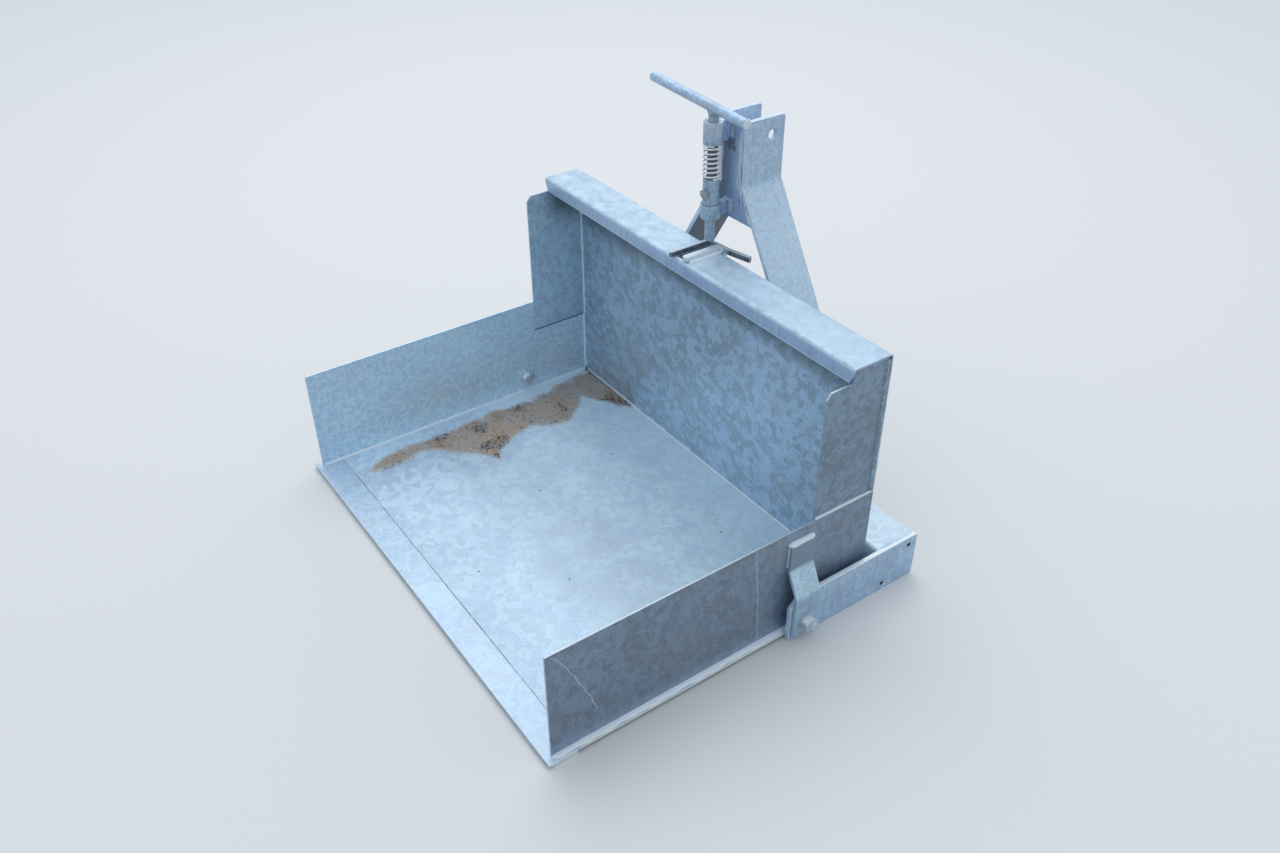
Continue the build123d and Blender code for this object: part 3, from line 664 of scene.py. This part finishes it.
zinc_bar = galvanised("zinc_bar", (0.59, 0.75, 0.91), (0.42, 0.55, 0.68), 0.011, streak=0.25)
bolt_steel = plated("plated_bolts", (0.66, 0.75, 0.82), 0.25, 0.8, 0.8)
bolt_flats, head_high, nut_high, nut_seat = 0.030, 0.0125, 0.016, 0.537
bolts, sleeves, washers, nuts = [], [], [], []
for hand in (1, -1):
    head = hexagon(bolt_flats, head_high, 0.006, lambda a, u, n: along_pivot(a, u, side_in - n), 1.0)
    face = turned([(0.0085, 0.4836), (0.009, 0.4838), (0.009, 0.4950)], along_pivot)
    shank = turned([(0.0095, 0.4952), (0.010, 0.4957), (0.010, 0.536)], along_pivot)
    bolts += [head, face, shank, threaded(0.010, 0.5355, 0.560, 0.0025, along_pivot)]
    sleeves.append(turned([(0.0102, 0.5003), (0.0136, 0.5003), (0.0140, 0.5007), (0.0140, 0.5253),
                           (0.0136, 0.5257), (0.0102, 0.5257)], along_pivot, bored=True))
    washers.append(turned([(0.0105, 0.534), (0.0180, 0.534), (0.0185, 0.5345), (0.0185, 0.5365),
                           (0.0180, nut_seat), (0.0105, nut_seat)], along_pivot, bored=True))
    nuts.append(hexagon(bolt_flats, nut_high, 0.0098, lambda a, u, n: along_pivot(a, u, nut_seat + n), 0.8))
for name, shells in (("bolts", bolts), ("sleeves", sleeves), ("washers", washers), ("nuts", nuts)):
    finish, slot = (zinc_bar, "galvanised_bar") if name == "sleeves" else (bolt_steel, "zinc_fasteners")
    piece("pivot_set_" + name, joined(*shells), "bucket", finish, "pivot_" + name)


# KEEPER BARS
# Three short steel bars welded on the flange round the slot: they take the latch rod's tip.
# The rear stop bar has its right end bent back, to lead the rod in when the bucket swings home.

def lit_crown(here, colour, *rest):
    """Painted highlight: the left bar's rounded top is painted pale, from a little below the crown
    upwards; the stop bar is painted pale before its bend, and along its top edge."""
    x, y, z = here.axes()
    stop = y.rise(0.2790, 0.2798)
    colour = (stop * x.fall(0.036, 0.050) * 0.8).blend(colour, (0.44, 0.56, 0.68))
    colour = (stop * z.rise(0.5660, 0.5672) * 0.6).blend(colour, (0.55, 0.66, 0.76))
    crown = z.rise(0.5654, 0.5668) * x.fall(0.0, 0.001)
    return (crown * 0.9).blend(colour, (0.60, 0.72, 0.82)), *rest


# Painted shade: the left and stop bars are a dark copy of the zinc, for the shade in and around the slot.
zinc_keeper_shaded = galvanised("zinc_keeper_shaded", (0.16, 0.20, 0.245), (0.05, 0.065, 0.08), 0.009, rough=0.42,
                         metal=0.2, over=lit_crown)
zinc_saddle = galvanised("zinc_saddle", (0.76, 0.86, 0.93), (0.58, 0.67, 0.74), 0.009)
flange_top, keeper_top, keeper_high, keeper_back = 0.556, 0.568, 0.012, 0.280
keeper_left, keeper_right = -0.019, 0.027


def on_flange(x, y, z):
    """Lays a bar that is drawn in (x, y) on the flange."""
    return x, y, flange_top + keeper_high / 2 + z


# crown paints the bars' tops pale as a painted highlight.
left_bar = plate([oblong(keeper_left, 0.181, -0.011, keeper_back, 0.0027)], keeper_high, 0.0022, on_flange,
                 shine_and_wear=0.1, crown=0.6, ease_steps=5)
right_bar = plate([oblong(0.011, 0.191, keeper_right, keeper_back, [0.005, 0.006, 0.0034, 0.0034])],
                  keeper_high, 0.0030, on_flange, shine_and_wear=0.1, crown=0.3, ease_steps=5)
stop_thick, stop_ramp = 0.008, 0.006
stop_fold = folded([(keeper_left, 0.284), (0.045, 0.284), (0.096, 0.2958)], 0.010)
stop_outline, stop_ties = strip(stop_fold[0], flange_top, keeper_top)


def stop_place(along, height, through):
    """Bar along its fold; the rear top edge of the straight part is cut off at a slope."""
    x, y = on_fold(stop_fold, along, -through)
    near = stop_thick / 2
    cut_off = np.clip((stop_fold[0][1] - along) / near, 0, 1) * np.clip(through / near, 0, 1)
    return x, y, height - stop_ramp * cut_off * (height > keeper_top - near)


stop_bar = plate([stop_outline], stop_thick, bar_ease, stop_place, stop_ties, shine_and_wear=0.55)
piece("keeper_left", left_bar, "bucket", zinc_keeper_shaded, "keeper_left_bar")
piece("keeper_right", right_bar, "bucket", zinc_saddle, "keeper_right_bar")
piece("keeper_stop", stop_bar, "bucket", zinc_keeper_shaded, "keeper_stop_bar")


# BUCKET WELDS
# Hand-laid fillet beads along the bucket's corners, sealed under zinc that dried a shade whiter, and
# painted paler still as painted highlight, most on the side plates' outer faces.
# They stand proud in small ripples, wider where the rod paused.

def weld(line, first_wall, second_wall, legs, bright=0.3, ripple=0.0045, out=None):
    """Bead in a corner, along a line whose x, y and z are one number each, or one for each point. At each
    step the section runs from one wall to the other on a chord bulged outwards, by its leg on each wall,
    its size swelling once a ripple and drifting slowly, drawn in at both ends."""
    line = np.stack(np.broadcast_arrays(*line), 1).astype(float)
    first_wall, second_wall = np.array(first_wall, float), np.array(second_wall, float)
    out = first_wall + second_wall if out is None else np.array(out, float)
    legs = np.broadcast_to(legs, 2)
    mark = np.r_[0.0, np.cumsum(np.linalg.norm(np.diff(line, axis=0), axis=1))]
    run = np.linspace(0, mark[-1], max(int(mark[-1] / ripple * 5), 12))
    path = np.stack([np.interp(run, mark, line[:, k]) for k in range(3)], 1)
    phase = 40 * line[0].sum()
    swell = min(0.06, 0.0002 / max(legs))
    size = 1 - swell + swell * np.abs(np.sin(np.pi * run / ripple)) + 0.08 * np.sin(53 * run + phase)
    size += 0.07 * np.sin(131 * run + 2 * phase)
    near_end = np.clip(np.minimum(run, mark[-1] - run) / (1.5 * max(legs)), 0, 1)
    size *= 0.2 + 0.8 * np.sqrt(near_end * (2 - near_end))
    t = np.linspace(0, 1, 7)
    first = np.r_[legs[0] * (1 - t), 0.0]
    second = np.r_[legs[1] * t, 0.0]
    bulge = np.r_[0.24 * min(legs) * np.sin(np.pi * t), -0.12 * min(legs)]
    section = first[:, None] * first_wall + second[:, None] * second_wall + bulge[:, None] * out
    grid = path[None] + section[:, None] * size[None, :, None]
    shape = grid.shape[:2]
    return grid.reshape(-1, 3), quads(*shape).tolist(), caps(*shape), np.full(grid[..., 0].size, bright)


def both_sides(*rows):
    """Beads on the right and on the left. Each row says what weld needs for the right one, in its order;
    line and walls are turned over for the left one."""
    turned_over = lambda wall, hand: np.multiply(wall, (hand, 1, 1))
    return [weld((np.multiply(x, hand), y, z), turned_over(first, hand), turned_over(second, hand), *rest)
            for hand in (1, -1) for (x, y, z), first, second, *rest in rows]


left, right, fore, aft, rise, fall = (-1, 0, 0), (1, 0, 0), (0, -1, 0), (0, 1, 0), (0, 0, 1), (0, 0, -1)
wall_front, flange_under = 0.276, 0.552
# The number after a bead's legs paints it pale through its edge attribute, partly as painted highlight.
beads = [
    weld(((-0.488, 0.488), wall_front, side_foot), fore, rise, 0.0022),
    *both_sides(
        ((side_in, (-0.438, 0.274), side_foot), left, rise, (0.0045, 0.0035), 0.8),
        ((side_in, wall_front, (0.016, 0.176)), left, fore, 0.0035),
        ((cheek_in, wall_front, (0.178, 0.545)), left, fore, 0.0028, 0.0),
        ((side_out, (-0.441, 0.278), side_foot), right, rise, (0.0105, 0.0032), 1.0),
        ((side_in, (0.135, 0.279), side_top), right, rise, (0.0038, 0.0036), 0.9, 0.008),
        ((side_out, (0.071, 0.135), 0.2215), right, rise, (0.0085, 0.0055), 1.0, 0.009)),
    weld((keeper_left, (0.193, 0.279), flange_top), left, rise, 0.003),
    weld((keeper_right, (0.197, 0.279), flange_top), right, rise, (0.005, 0.004), 0.8),
    weld((keeper_right, keeper_back, (flange_top, 0.567)), right, fore, 0.003),
    weld(((-0.016, 0.043), 0.279, flange_top), aft, fall, 0.005),
]
dull_beads = both_sides(
    ((side_out, lug_low, (0.168, 0.219)), right, fore, 0.004),
    ((side_out, lug_high, (0.168, 0.219)), right, aft, 0.004),
    ((side_in, wall_front, (0.258, 0.546)), fore, right, (0.006, 0.0036), 0.0, 0.007),
    ((side_in, (0.198, 0.270), flange_under), right, fall, 0.003))
zinc_weld = galvanised("zinc_weld", (0.84, 0.93, 1.0), (0.70, 0.82, 0.93), 0.006, rough=0.45, metal=0.08)
piece("bucket_weld_beads", joined(*beads), "bucket", zinc_weld)
zinc_bead = galvanised("zinc_bead", (0.44, 0.58, 0.74), (0.22, 0.30, 0.40), 0.007, rough=0.42, metal=0.35)
piece("cheek_weld_beads", joined(*dull_beads), "bucket", zinc_bead)


# ZINC RUNS
# Thin ridges where molten zinc ran down the right side plate as it was lifted from the bath.
# They are part of the coating and stand about a millimetre proud.

def trickle(places, wide=0.0012):
    """Run down the right plate through (y, z) places, shaken sideways by two waves of its height."""
    y, z = np.array(places).T
    down = np.linspace(z[0], z[-1], 60)
    y = np.interp(-down, -z, y) + 0.0012 * np.sin(down * 190) + 0.0008 * np.sin(down * 530 + 1)
    return weld((side_out, y, down), fore, aft, wide, ripple=0.03, out=(0.5, 0, 0))


zinc_run = galvanised("zinc_run", (0.50, 0.62, 0.78), (0.30, 0.38, 0.50), 0.006, metal=0.35)
runs = [
    trickle([(-0.005, 0.250), (0.000, 0.191), (0.007, 0.125), (0.010, 0.059), (0.013, 0.017)]),
    trickle([(-0.434, 0.250), (-0.413, 0.227), (-0.391, 0.182), (-0.360, 0.113), (-0.345, 0.065)]),
]
piece("zinc_run_ridges", joined(*runs), "bucket", zinc_run)


# CROSS MEMBER
# A square steel tube, 100 by 100 by 5 mm, that lies across behind the bucket.
# It carries the A-frame and the link ears, and the side arms are welded over its ends.

beam_half, beam_wall = 0.515, 0.005
beam_front, beam_rear, beam_low, beam_high = 0.301, 0.401, 0.004, 0.104


def square(inset, corner):
    """Tube section as a closed line, drawn in from the outside by the inset."""
    return oblong(beam_front + inset, beam_low + inset, beam_rear - inset, beam_high - inset, corner)


beam = plate([square(0, 0.008), square(beam_wall, 0.003)], 2 * beam_half, 0.0006, upright(), drawn=True)
# Painted light: the beam's zinc is a paler copy of the bars', for the light on its top.
zinc_beam_lit = galvanised("zinc_beam_lit", (0.74, 0.87, 0.98), (0.60, 0.73, 0.86), 0.012, metal=0.2, vivid=2.2)
piece("beam", beam, "hitch_frame", zinc_beam_lit, "cross_member")


# SIDE ARMS
# Flat steel bars, 104 by 10 mm, welded to the ends of the cross member and reaching forward to the pivots.
# Each has its nose cut off at a slope, a bore for the pivot sleeve and two holes to let the zinc run out.

arm_mid, arm_bore, bar_thick = 0.520, 0.01405, 0.010
arm_outline = rounded([(0.069, 0.0), (0.397, 0.0), (0.403, 0.006), (0.403, 0.104), (0.090, 0.104),
                       (0.069, 0.080)], [0.004, 0.003, 0.003, 0.003, 0.006, 0.006])
vents, vent_radius = ((0.381, 0.0845), (0.317, 0.0155)), 0.0045


def vent_shade_top_shine(here, colour, *rest):
    """Painted shade in the vent holes: it fills a circle round each, and fades over half a millimetre.
    The top edges are painted pale as a painted highlight."""
    flat = here.vector("MULTIPLY", here, (0.0, 1.0, 1.0))
    for y, z in vents:
        away = here.vector("DISTANCE", flat, (0.0, y, z), out="Value")
        hole_shade = 0.95 - away.rise(vent_radius, vent_radius + 0.0006, "LINEAR")
        colour = hole_shade.blend(colour, (0.02, 0.024, 0.03))
    up, = here.axes("Z")
    return (up.rise(0.1028, 0.1036) * 0.8).blend(colour, (0.92, 0.98, 1.0)), *rest


zinc_arm = galvanised("zinc_arm", (0.60, 0.82, 1.0), (0.41, 0.57, 0.83), 0.011, streak=0.3, over=vent_shade_top_shine)
vent_holes = [circle(y, z, vent_radius, 24) for y, z in vents]
arm_loops = [arm_outline, circle(pivot_y, pivot_z, arm_bore), *vent_holes]
for side, hand in hands:
    arm = plate(arm_loops, bar_thick, bar_ease, upright(hand * arm_mid), wall=0.6)
    piece("arm_" + side, arm, "hitch_frame", zinc_arm, "side_arm_" + side)


# A-FRAME LEGS
# Two flat steel bars, 100 by 10 mm, bent once and welded up on the cross member.
# Their upright top ends take the top link's pin through a 20 mm hole.

leg_splay = math.radians(31)
leg_top, leg_bend, leg_x, leg_low, leg_high = 0.816, 0.687, 0.035, 0.313, 0.413
link_y, link_z, link_radius = 0.383, 0.780, 0.010
foot_mid = leg_x + (leg_bend - beam_high) * math.tan(leg_splay)
leg_fold = folded([(leg_x, leg_top), (leg_x, leg_bend), (foot_mid, beam_high)], 0.018)
leg_outline, leg_ties = strip(leg_fold[0], leg_low, leg_high, 0.006)
leg_hole = circle(leg_top - link_z, link_y, link_radius)


def shaded_underside(here, colour, *rest):
    """Painted shade under the splayed lengths: it lies where the distance in from the bar's middle plane
    is nearly half its thickness, below the bend. The splayed lengths are painted paler above, as painted
    light."""
    x, z = here.axes("XZ")
    inside = (leg_x - abs(x) + (leg_bend - z) * math.tan(leg_splay)) * math.cos(leg_splay)
    underside_shade = inside.rise(0.0042, 0.0049) * z.fall(0.665, 0.685)
    colour = (z.fall(0.676, 0.690) * 0.35).blend(colour, (0.74, 0.91, 1.0))
    return (underside_shade * 0.8).blend(colour, (0.07, 0.08, 0.09)), *rest


zinc_leg = galvanised("zinc_leg", (0.65, 0.83, 1.0), (0.46, 0.61, 0.80), 0.0055, streak=0.15, rough=0.55,
                      metal=0.15, vivid=2.0, over=shaded_underside)


def leg_place(along, across, through):
    """Bar along its fold; its foot is cut level, so points slide along by their depth."""
    slide = along / leg_fold[0][-1] * through * math.tan(leg_splay)
    x, z = on_fold(leg_fold, along + slide, through)
    return hand * x, across, z


for side, hand in hands:
    leg = plate([leg_outline, leg_hole], bar_thick, bar_ease, leg_place, leg_ties,
                shine_and_wear=lambda along, across: np.where((along < 0.012) | (across > 0.4), 1.0, 0.35), wall=0.5)
    piece("leg_" + side, leg, "hitch_frame", zinc_leg, "a_frame_leg_" + side)


# WEB PLATE
# A 10 mm steel plate between the legs' front edges that ties them together below the top link.
# It follows the legs' bend and carries the latch's two guides.

web_front, web_mid, web_half = 0.313, 0.318, 0.030
web_outline = rounded([(-0.0724, 0.615), (0.0724, 0.615), (web_half, 0.6856), (web_half, 0.806),
                       (-web_half, 0.806), (-web_half, 0.6856)])
seeps = (((0.004, 0.306, 0.774), 0.014), ((-0.006, web_front, 0.765), 0.017),
         ((0.010, web_front, 0.760), 0.011), ((0.031, web_front, 0.676), 0.008),
         ((-0.005, web_front, 0.617), 0.008))


def seeps_and_shade(here, colour, *rest):
    """Dark marks where the bath's acid seeped out of the joints: three under the upper stand-off, two small
    ones near the plate's foot, each a ragged disc on the plate's face. Behind the spring the face is
    darkened by painted shade, less and less to the right; the upper stand-off's top is painted pale as a
    painted highlight."""
    x, y, z = here.axes()
    # Painted shade behind the spring, and a painted highlight on the upper stand-off's top.
    behind_spring_shade = x.fall(-0.022, 0.030) * z.fall(0.764, 0.780) * y.rise(0.3124, 0.3128) * y.fall(0.3145, 0.3165)
    colour = (behind_spring_shade * 0.95).blend(colour, (0.07, 0.12, 0.20))
    colour = (z.rise(0.8166, 0.8178) * y.fall(0.3118, 0.3126) * 0.8).blend(colour, (0.92, 0.97, 1.0))
    rag = here.noise(190.0, 4.0) * 0.016
    for place, reach in seeps:
        away = here.vector("DISTANCE", here, place, out="Value")
        mark = (away + rag).fall(reach * 0.8, reach * 1.5)
        colour = (mark * 0.85).blend(colour, (0.06, 0.07, 0.10))
    return colour, *rest


zinc_web = galvanised("zinc_web", (0.45, 0.62, 0.88), (0.22, 0.34, 0.53), 0.010, streak=0.5, rough=0.55,
                      metal=0.15, over=seeps_and_shade)
web = plate([web_outline], bar_thick, bar_ease, lambda x, z, y: (x, web_mid + y, z), shine_and_wear=0.4, wall=0.3)
piece("web", web, "hitch_frame", zinc_web, "web_plate")


# LATCH GUIDES
# A steel tube above and a steel cup below, each welded to the web on a flat stand-off.
# The latch rod slides through both, and the spring pushes against the tube's lower end.

rod_x, rod_y = 0.0, 0.268


def along_rod(across, up, length):
    """Stands a turned piece on the latch rod's axis, its length as the height."""
    return rod_x + across, rod_y + up, length


zinc_guide = galvanised("zinc_guide", (0.45, 0.61, 0.78), (0.27, 0.38, 0.49), 0.012, streak=0.2, rough=0.44)
# The tube's upper rim is painted pale as a painted highlight.
tube = turned([(0.01008, 0.7775), (0.0106, 0.777), (0.0184, 0.777), (0.0190, 0.7776), (0.0190, 0.8184),
               (0.0184, 0.819), (0.0106, 0.819), (0.01008, 0.8185)], along_rod, bored=True,
              lit_and_worn=[0, 0, 0, 0, 0.6, 0.9, 0.5, 0])
cup = turned([(0.01008, 0.6245), (0.0106, 0.624), (0.0180, 0.624), (0.0194, 0.6246), (0.0200, 0.626),
              (0.0200, 0.6534), (0.0195, 0.654), (0.0180, 0.654), (0.0175, 0.6535), (0.0175, 0.630),
              (0.01008, 0.630)], along_rod, bored=True)
piece("guide_tube", tube, "hitch_frame", zinc_guide, "upper_guide_tube")
piece("guide_cup", cup, "hitch_frame", zinc_guide, "lower_guide_cup")
rest_wide = 0.012
for name, rest_front, low, high in (("upper", 0.2861, 0.777, 0.819), ("lower", 0.2871, 0.626, 0.654)):
    rest_outline = oblong(rest_front, low, web_front, high)
    rest = plate([rest_outline], rest_wide, bar_ease, upright(), shine_and_wear=0.5, wall=0.3)
    piece("standoff_" + name, rest, "hitch_frame", zinc_web, name + "_standoff")


# LINK EARS
# Four short steel plates, 10 mm thick with a rounded end, welded in pairs to the back of the cross member.
# A 22 mm pin through each pair takes one of the tractor's lower links.

ear_y, ear_z, ear_round, ear_bore = 0.431, 0.064, 0.024, 0.01125
ear_rows = (("inner", 0.295), ("outer", 0.347))
arc = np.radians(np.linspace(-90, 90, 25))
ear_end = np.stack([ear_y + ear_round * np.cos(arc), ear_z + ear_round * np.sin(arc)], 1)
ear_outline = np.concatenate([[(beam_rear, beam_high), (beam_rear, 0.024)], ear_end])
ear_loops = [ear_outline, circle(ear_y, ear_z, ear_bore)]
for side, hand in hands:
    for row, middle in ear_rows:
        ear = plate(ear_loops, bar_thick, bar_ease, upright(hand * middle))
        piece("ear_" + side + "_" + row, ear, "hitch_frame", zinc_bar, "link_ear_" + side + "_" + row)


# FRAME WELDS
# Hand-laid steel fillet beads at the A-frame's feet, the arms, the ears and the stand-offs, and flush
# beads where the web meets the legs, all under the frame's zinc.

lean = (-math.sin(leg_splay), 0, math.cos(leg_splay))
foot_half = bar_thick / 2 / math.cos(leg_splay)
outer, inner = foot_mid + foot_half, foot_mid - foot_half
ear_beads = [((middle + out[0] * bar_thick / 2, beam_rear, (0.026, 0.102)), out, aft, 0.004)
             for _, middle in ear_rows for out in (left, right)]
frame_beads = both_sides(
    ((outer, (0.315, 0.398), beam_high), right, lean, 0.006),
    ((inner, (0.315, 0.398), beam_high), left, lean, 0.005),
    ((beam_half, (0.308, 0.396), 0.1036), left, right, 0.004, 0.3, 0.0045, rise),
    *ear_beads)
rest_face = rest_wide / 2
web_beads = both_sides(
    (((web_half, web_half, 0.0718), web_front, (0.803, 0.686, 0.616)), left, right, 0.008, 0.1, 0.007, fore),
    ((rest_face, web_front, (0.777, 0.819)), right, fore, (0.006, 0.005), 0.1, 0.008),
    ((rest_face, web_front, (0.624, 0.655)), right, fore, 0.007, 0.2, 0.008))
piece("frame_weld_beads", joined(*frame_beads), "hitch_frame", zinc_bar)
zinc_seam = galvanised("zinc_seam", (0.66, 0.80, 0.95), (0.20, 0.29, 0.42), 0.007, streak=0.7, rough=0.5,
                       metal=0.2)
piece("web_weld_beads", joined(*web_beads), "hitch_frame", zinc_seam)


# LATCH ROD AND T-HANDLE
# A 20 mm round steel bar with its tip cut at a slope, and a cross bar welded on top to lift it by.
# The cross bar sits a little crooked, its long left end higher.

rod_tip, rod_slope, rod_top, rod_radius = 0.5705, 0.325, 0.846, 0.010


def shaded_in_spring(here, colour, roughness, metallic):
    """Painted shade on the rod's length inside the spring, fading out at both ends, where it is also a little
    glossier.
    """
    up, = here.axes("Z")
    in_spring_shade = up.rise(0.706, 0.710) * up.fall(0.774, 0.778)
    return (in_spring_shade * 0.85).blend(colour, (0.10, 0.13, 0.16)), roughness - in_spring_shade * 0.1, metallic


zinc_rod = galvanised("zinc_rod", (0.44, 0.57, 0.71), (0.29, 0.39, 0.50), 0.008, streak=0.2, over=shaded_in_spring)


def rod_place(across, up, length):
    """Round bar whose lowest rings lean, so that the tip is higher in front."""
    x, y, z = along_rod(across, up, length)
    return x, y, z + np.where(length < 0.60, (rod_radius - up) * rod_slope, 0)


rod = turned([(0.0088, rod_tip), (0.0096, rod_tip + 0.0004), (rod_radius, rod_tip + 0.0014),
              (rod_radius, 0.59), (rod_radius, 0.61), (rod_radius, rod_top)], rod_place, 40)
piece("rod", rod, "latch", zinc_rod, "latch_rod")
handle_left, handle_right, handle_z, handle_tilt = -0.193, 0.097, 0.845, math.radians(2.5)


def along_handle(across, up, length):
    """Lays a turned piece across the rod's top, its rings upright, lower and lower to the right."""
    lift = up / math.cos(handle_tilt) - length * math.tan(handle_tilt)
    return length, rod_y + across, handle_z + lift


def lit_cut_end(here, colour, *rest):
    """Painted highlight: the right end's cut face is painted pale, from just inside it outwards."""
    x, = here.axes("X")
    face = x.rise(handle_right - 0.0015, handle_right - 0.0005)
    return (face * 0.8).blend(colour, (0.90, 0.97, 1.0)), *rest


handle = turned([(0.0080, handle_left), (rod_radius, handle_left + 0.002), (rod_radius, handle_right - 0.002),
                 (0.0080, handle_right)], along_handle, 40)
zinc_handle = galvanised("zinc_handle", (0.53, 0.71, 0.92), (0.36, 0.49, 0.64), 0.010, over=lit_cut_end)
piece("handle", handle, "latch", zinc_handle, "t_handle")
bead_foot = 0.8325


def handle_bead_place(across, up, length):
    """Bead round the rod that widens under the cross bar, the more the higher it is."""
    return along_rod(across * (1 + 60 * (length - bead_foot)), up, length)


handle_bead = turned([(0.0098, bead_foot), (0.0105, 0.8329), (0.0112, 0.8345), (0.0116, 0.8365),
                      (0.0110, 0.8390), (0.0098, 0.8400)], handle_bead_place, 32, bored=True)
piece("handle_weld_bead", handle_bead, "latch", zinc_rod)


# COLLAR AND ITS BOLT
# A short steel tube pinned to the rod: the spring sits on it, and it stops the rod in the cup.
# An M10 bolt goes in through its wall from the front, a little to the right, and screws into the rod.

collar_radius = 0.0165
collar = turned([(0.01006, 0.6456), (0.0108, 0.645), (0.0159, 0.645), (collar_radius, 0.6456),
                 (collar_radius, 0.7064), (0.0159, 0.707), (0.0108, 0.707), (0.01006, 0.7064)], along_rod,
                bored=True)
piece("collar_tube", collar, "latch", zinc_rod, "collar")
pin_z, pin_turn = 0.679, math.radians(10)


def along_pin(across, up, out):
    """Bolt in front of the rod: so far out from the rod's middle, turned round it to the right."""
    x = across * math.cos(pin_turn) + out * math.sin(pin_turn)
    y = across * math.sin(pin_turn) - out * math.cos(pin_turn)
    return rod_x + x, rod_y + y, pin_z + up


pin_head = hexagon(0.017, 0.0064, 0.003, lambda a, u, n: along_pin(a, u, collar_radius + n))
pin_face = turned([(0.0054, 0.0170), (0.0054, 0.0225), (0.0050, 0.0228)], along_pin, 32)
pin_shank = turned([(0.005, -0.0015), (0.005, 0.0175)], along_pin, 32)
pin_steel = plated("plated_pin", (0.40, 0.46, 0.52), 0.35, 0.5, 0.7)
pin = joined(pin_head, pin_face, pin_shank)
piece("collar_pin", pin, "latch", pin_steel, "collar_bolt")


# LATCH SPRING
# A compression spring of plated 3.5 mm wire round the rod, between collar and guide tube.
# Its end coils lie closed and ground flat; the open coils between them take up the travel.

spring_low, spring_high, coil_radius, wire = 0.7073, 0.7767, 0.01725, 0.00175
coils, closed_coils = 8.0, 0.75
turns = np.linspace(0, coils, 520)
closing = closed_coils * 2 * wire * 1.04
spring_length = spring_high - spring_low
coil_z = np.interp(turns, [0, closed_coils, coils - closed_coils, coils],
                   [wire, wire + closing, spring_length - wire - closing, spring_length - wire])
soften = np.hanning(41)
padded_z = np.concatenate([np.full(20, wire), coil_z, np.full(20, coil_z[-1])])
coil_z = spring_low + np.convolve(padded_z, soften / soften.sum(), "valid")
sweep = 2 * np.pi * turns - 0.5
spokes = np.stack([np.cos(sweep), np.sin(sweep), np.zeros_like(sweep)], 1)
section = dial(14)[:, None]
axis = np.stack([np.full_like(turns, rod_x), np.full_like(turns, rod_y), coil_z], 1)
ring = (coil_radius * spokes + axis)[None] + wire * np.cos(section)[..., None] * spokes
ring[..., 2] += wire * np.sin(section)
ring[..., 2] = np.clip(ring[..., 2], spring_low, spring_high)
grid = ring.shape[:2]
spring_shell = (ring.reshape(-1, 3), quads(*grid).tolist(), caps(*grid), np.zeros(grid[0] * grid[1]))
spring_wire = plated("plated_spring", (0.97, 0.98, 1.0), 0.3, 0.3, 0.9)
spring = piece("spring", spring_shell, None, spring_wire, "latch_spring")
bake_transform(spring)


# FLOOR, LIGHT AND VIEW
# A plain pale floor, one wide soft lamp overhead and behind, a dim sky all round.
# The camera stands where the photograph was taken from, to the right of the bucket's mouth.

def background_seen(start):
    """1 where a ray shows the background, straight or in metal, and 0 where it lights the object."""
    eye, gloss, glass = (start.node("LightPath", out="Is " + ray + " Ray")
                         for ray in ("Camera", "Glossy", "Transmission"))
    return eye + gloss + glass


ground = bpy.data.meshes.new("ground")
ground.from_pydata([(-60, -60, 0), (60, -60, 0), (60, 60, 0), (-60, 60, 0)], [], [(0, 1, 2, 3)])
pale_floor, spot = blank("pale_floor")
pale_shader = pale_floor.node_tree.nodes["Principled BSDF"]
tone = spot.vector("LENGTH", spot, out="Value").rise(2.5, 10.0).blend((0.74, 0.74, 0.74), (0.88, 0.88, 0.88))
spot.feed(pale_shader.inputs["Base Color"], background_seen(spot).blend((0.16, 0.16, 0.16), tone))
pale_shader.inputs["Roughness"].default_value = 0.9
ground.materials.append(pale_floor)
ground_floor = placed("ground", ground)

lamp = bpy.data.lights.new("overhead", "AREA")
lamp.size, lamp.energy = 4.5, 90
lamp_place, lit_place = Vector((-1.9, 1.2, 4.6)), Vector((0, 0, 0.2))
facing = (lit_place - lamp_place).normalized().to_track_quat("-Z", "Y")
placed("overhead", lamp).matrix_world = Matrix.Translation(lamp_place) @ facing.to_matrix().to_4x4()
world = bpy.data.worlds.new("sky")
bpy.context.scene.world = world
world.use_nodes = True
way = Socket(world.node_tree).node("TexCoord", out="Generated")
toward = way.vector("DOT_PRODUCT", way, (-0.46, 0.20, 0.86), out="Value")
shades = toward.rise(-1.0, 1.0, "LINEAR").blend((0.385, 0.43, 0.475), (0.80, 0.87, 0.94))
sky = background_seen(way).blend(shades, (0.625, 0.685, 0.74))
way.feed(world.node_tree.nodes["Background"].inputs["Color"], sky)
bpy.context.scene.view_settings.view_transform = "Standard"

camera = bpy.data.cameras.new("camera")
camera.sensor_width, camera.lens = 36, 31.253
azimuth, elevation, roll = (math.radians(d) for d in (54.81, 35.59, -0.18))
tilt = Matrix.Rotation(math.pi / 2 - elevation, 4, "X") @ Matrix.Rotation(roll, 4, "Z")
eye = Matrix.Translation((1.57508, -1.01352, 1.56567))
view = placed("camera", camera)
view.matrix_world = eye @ Matrix.Rotation(azimuth, 4, "Z") @ tilt
bpy.context.scene.camera = view
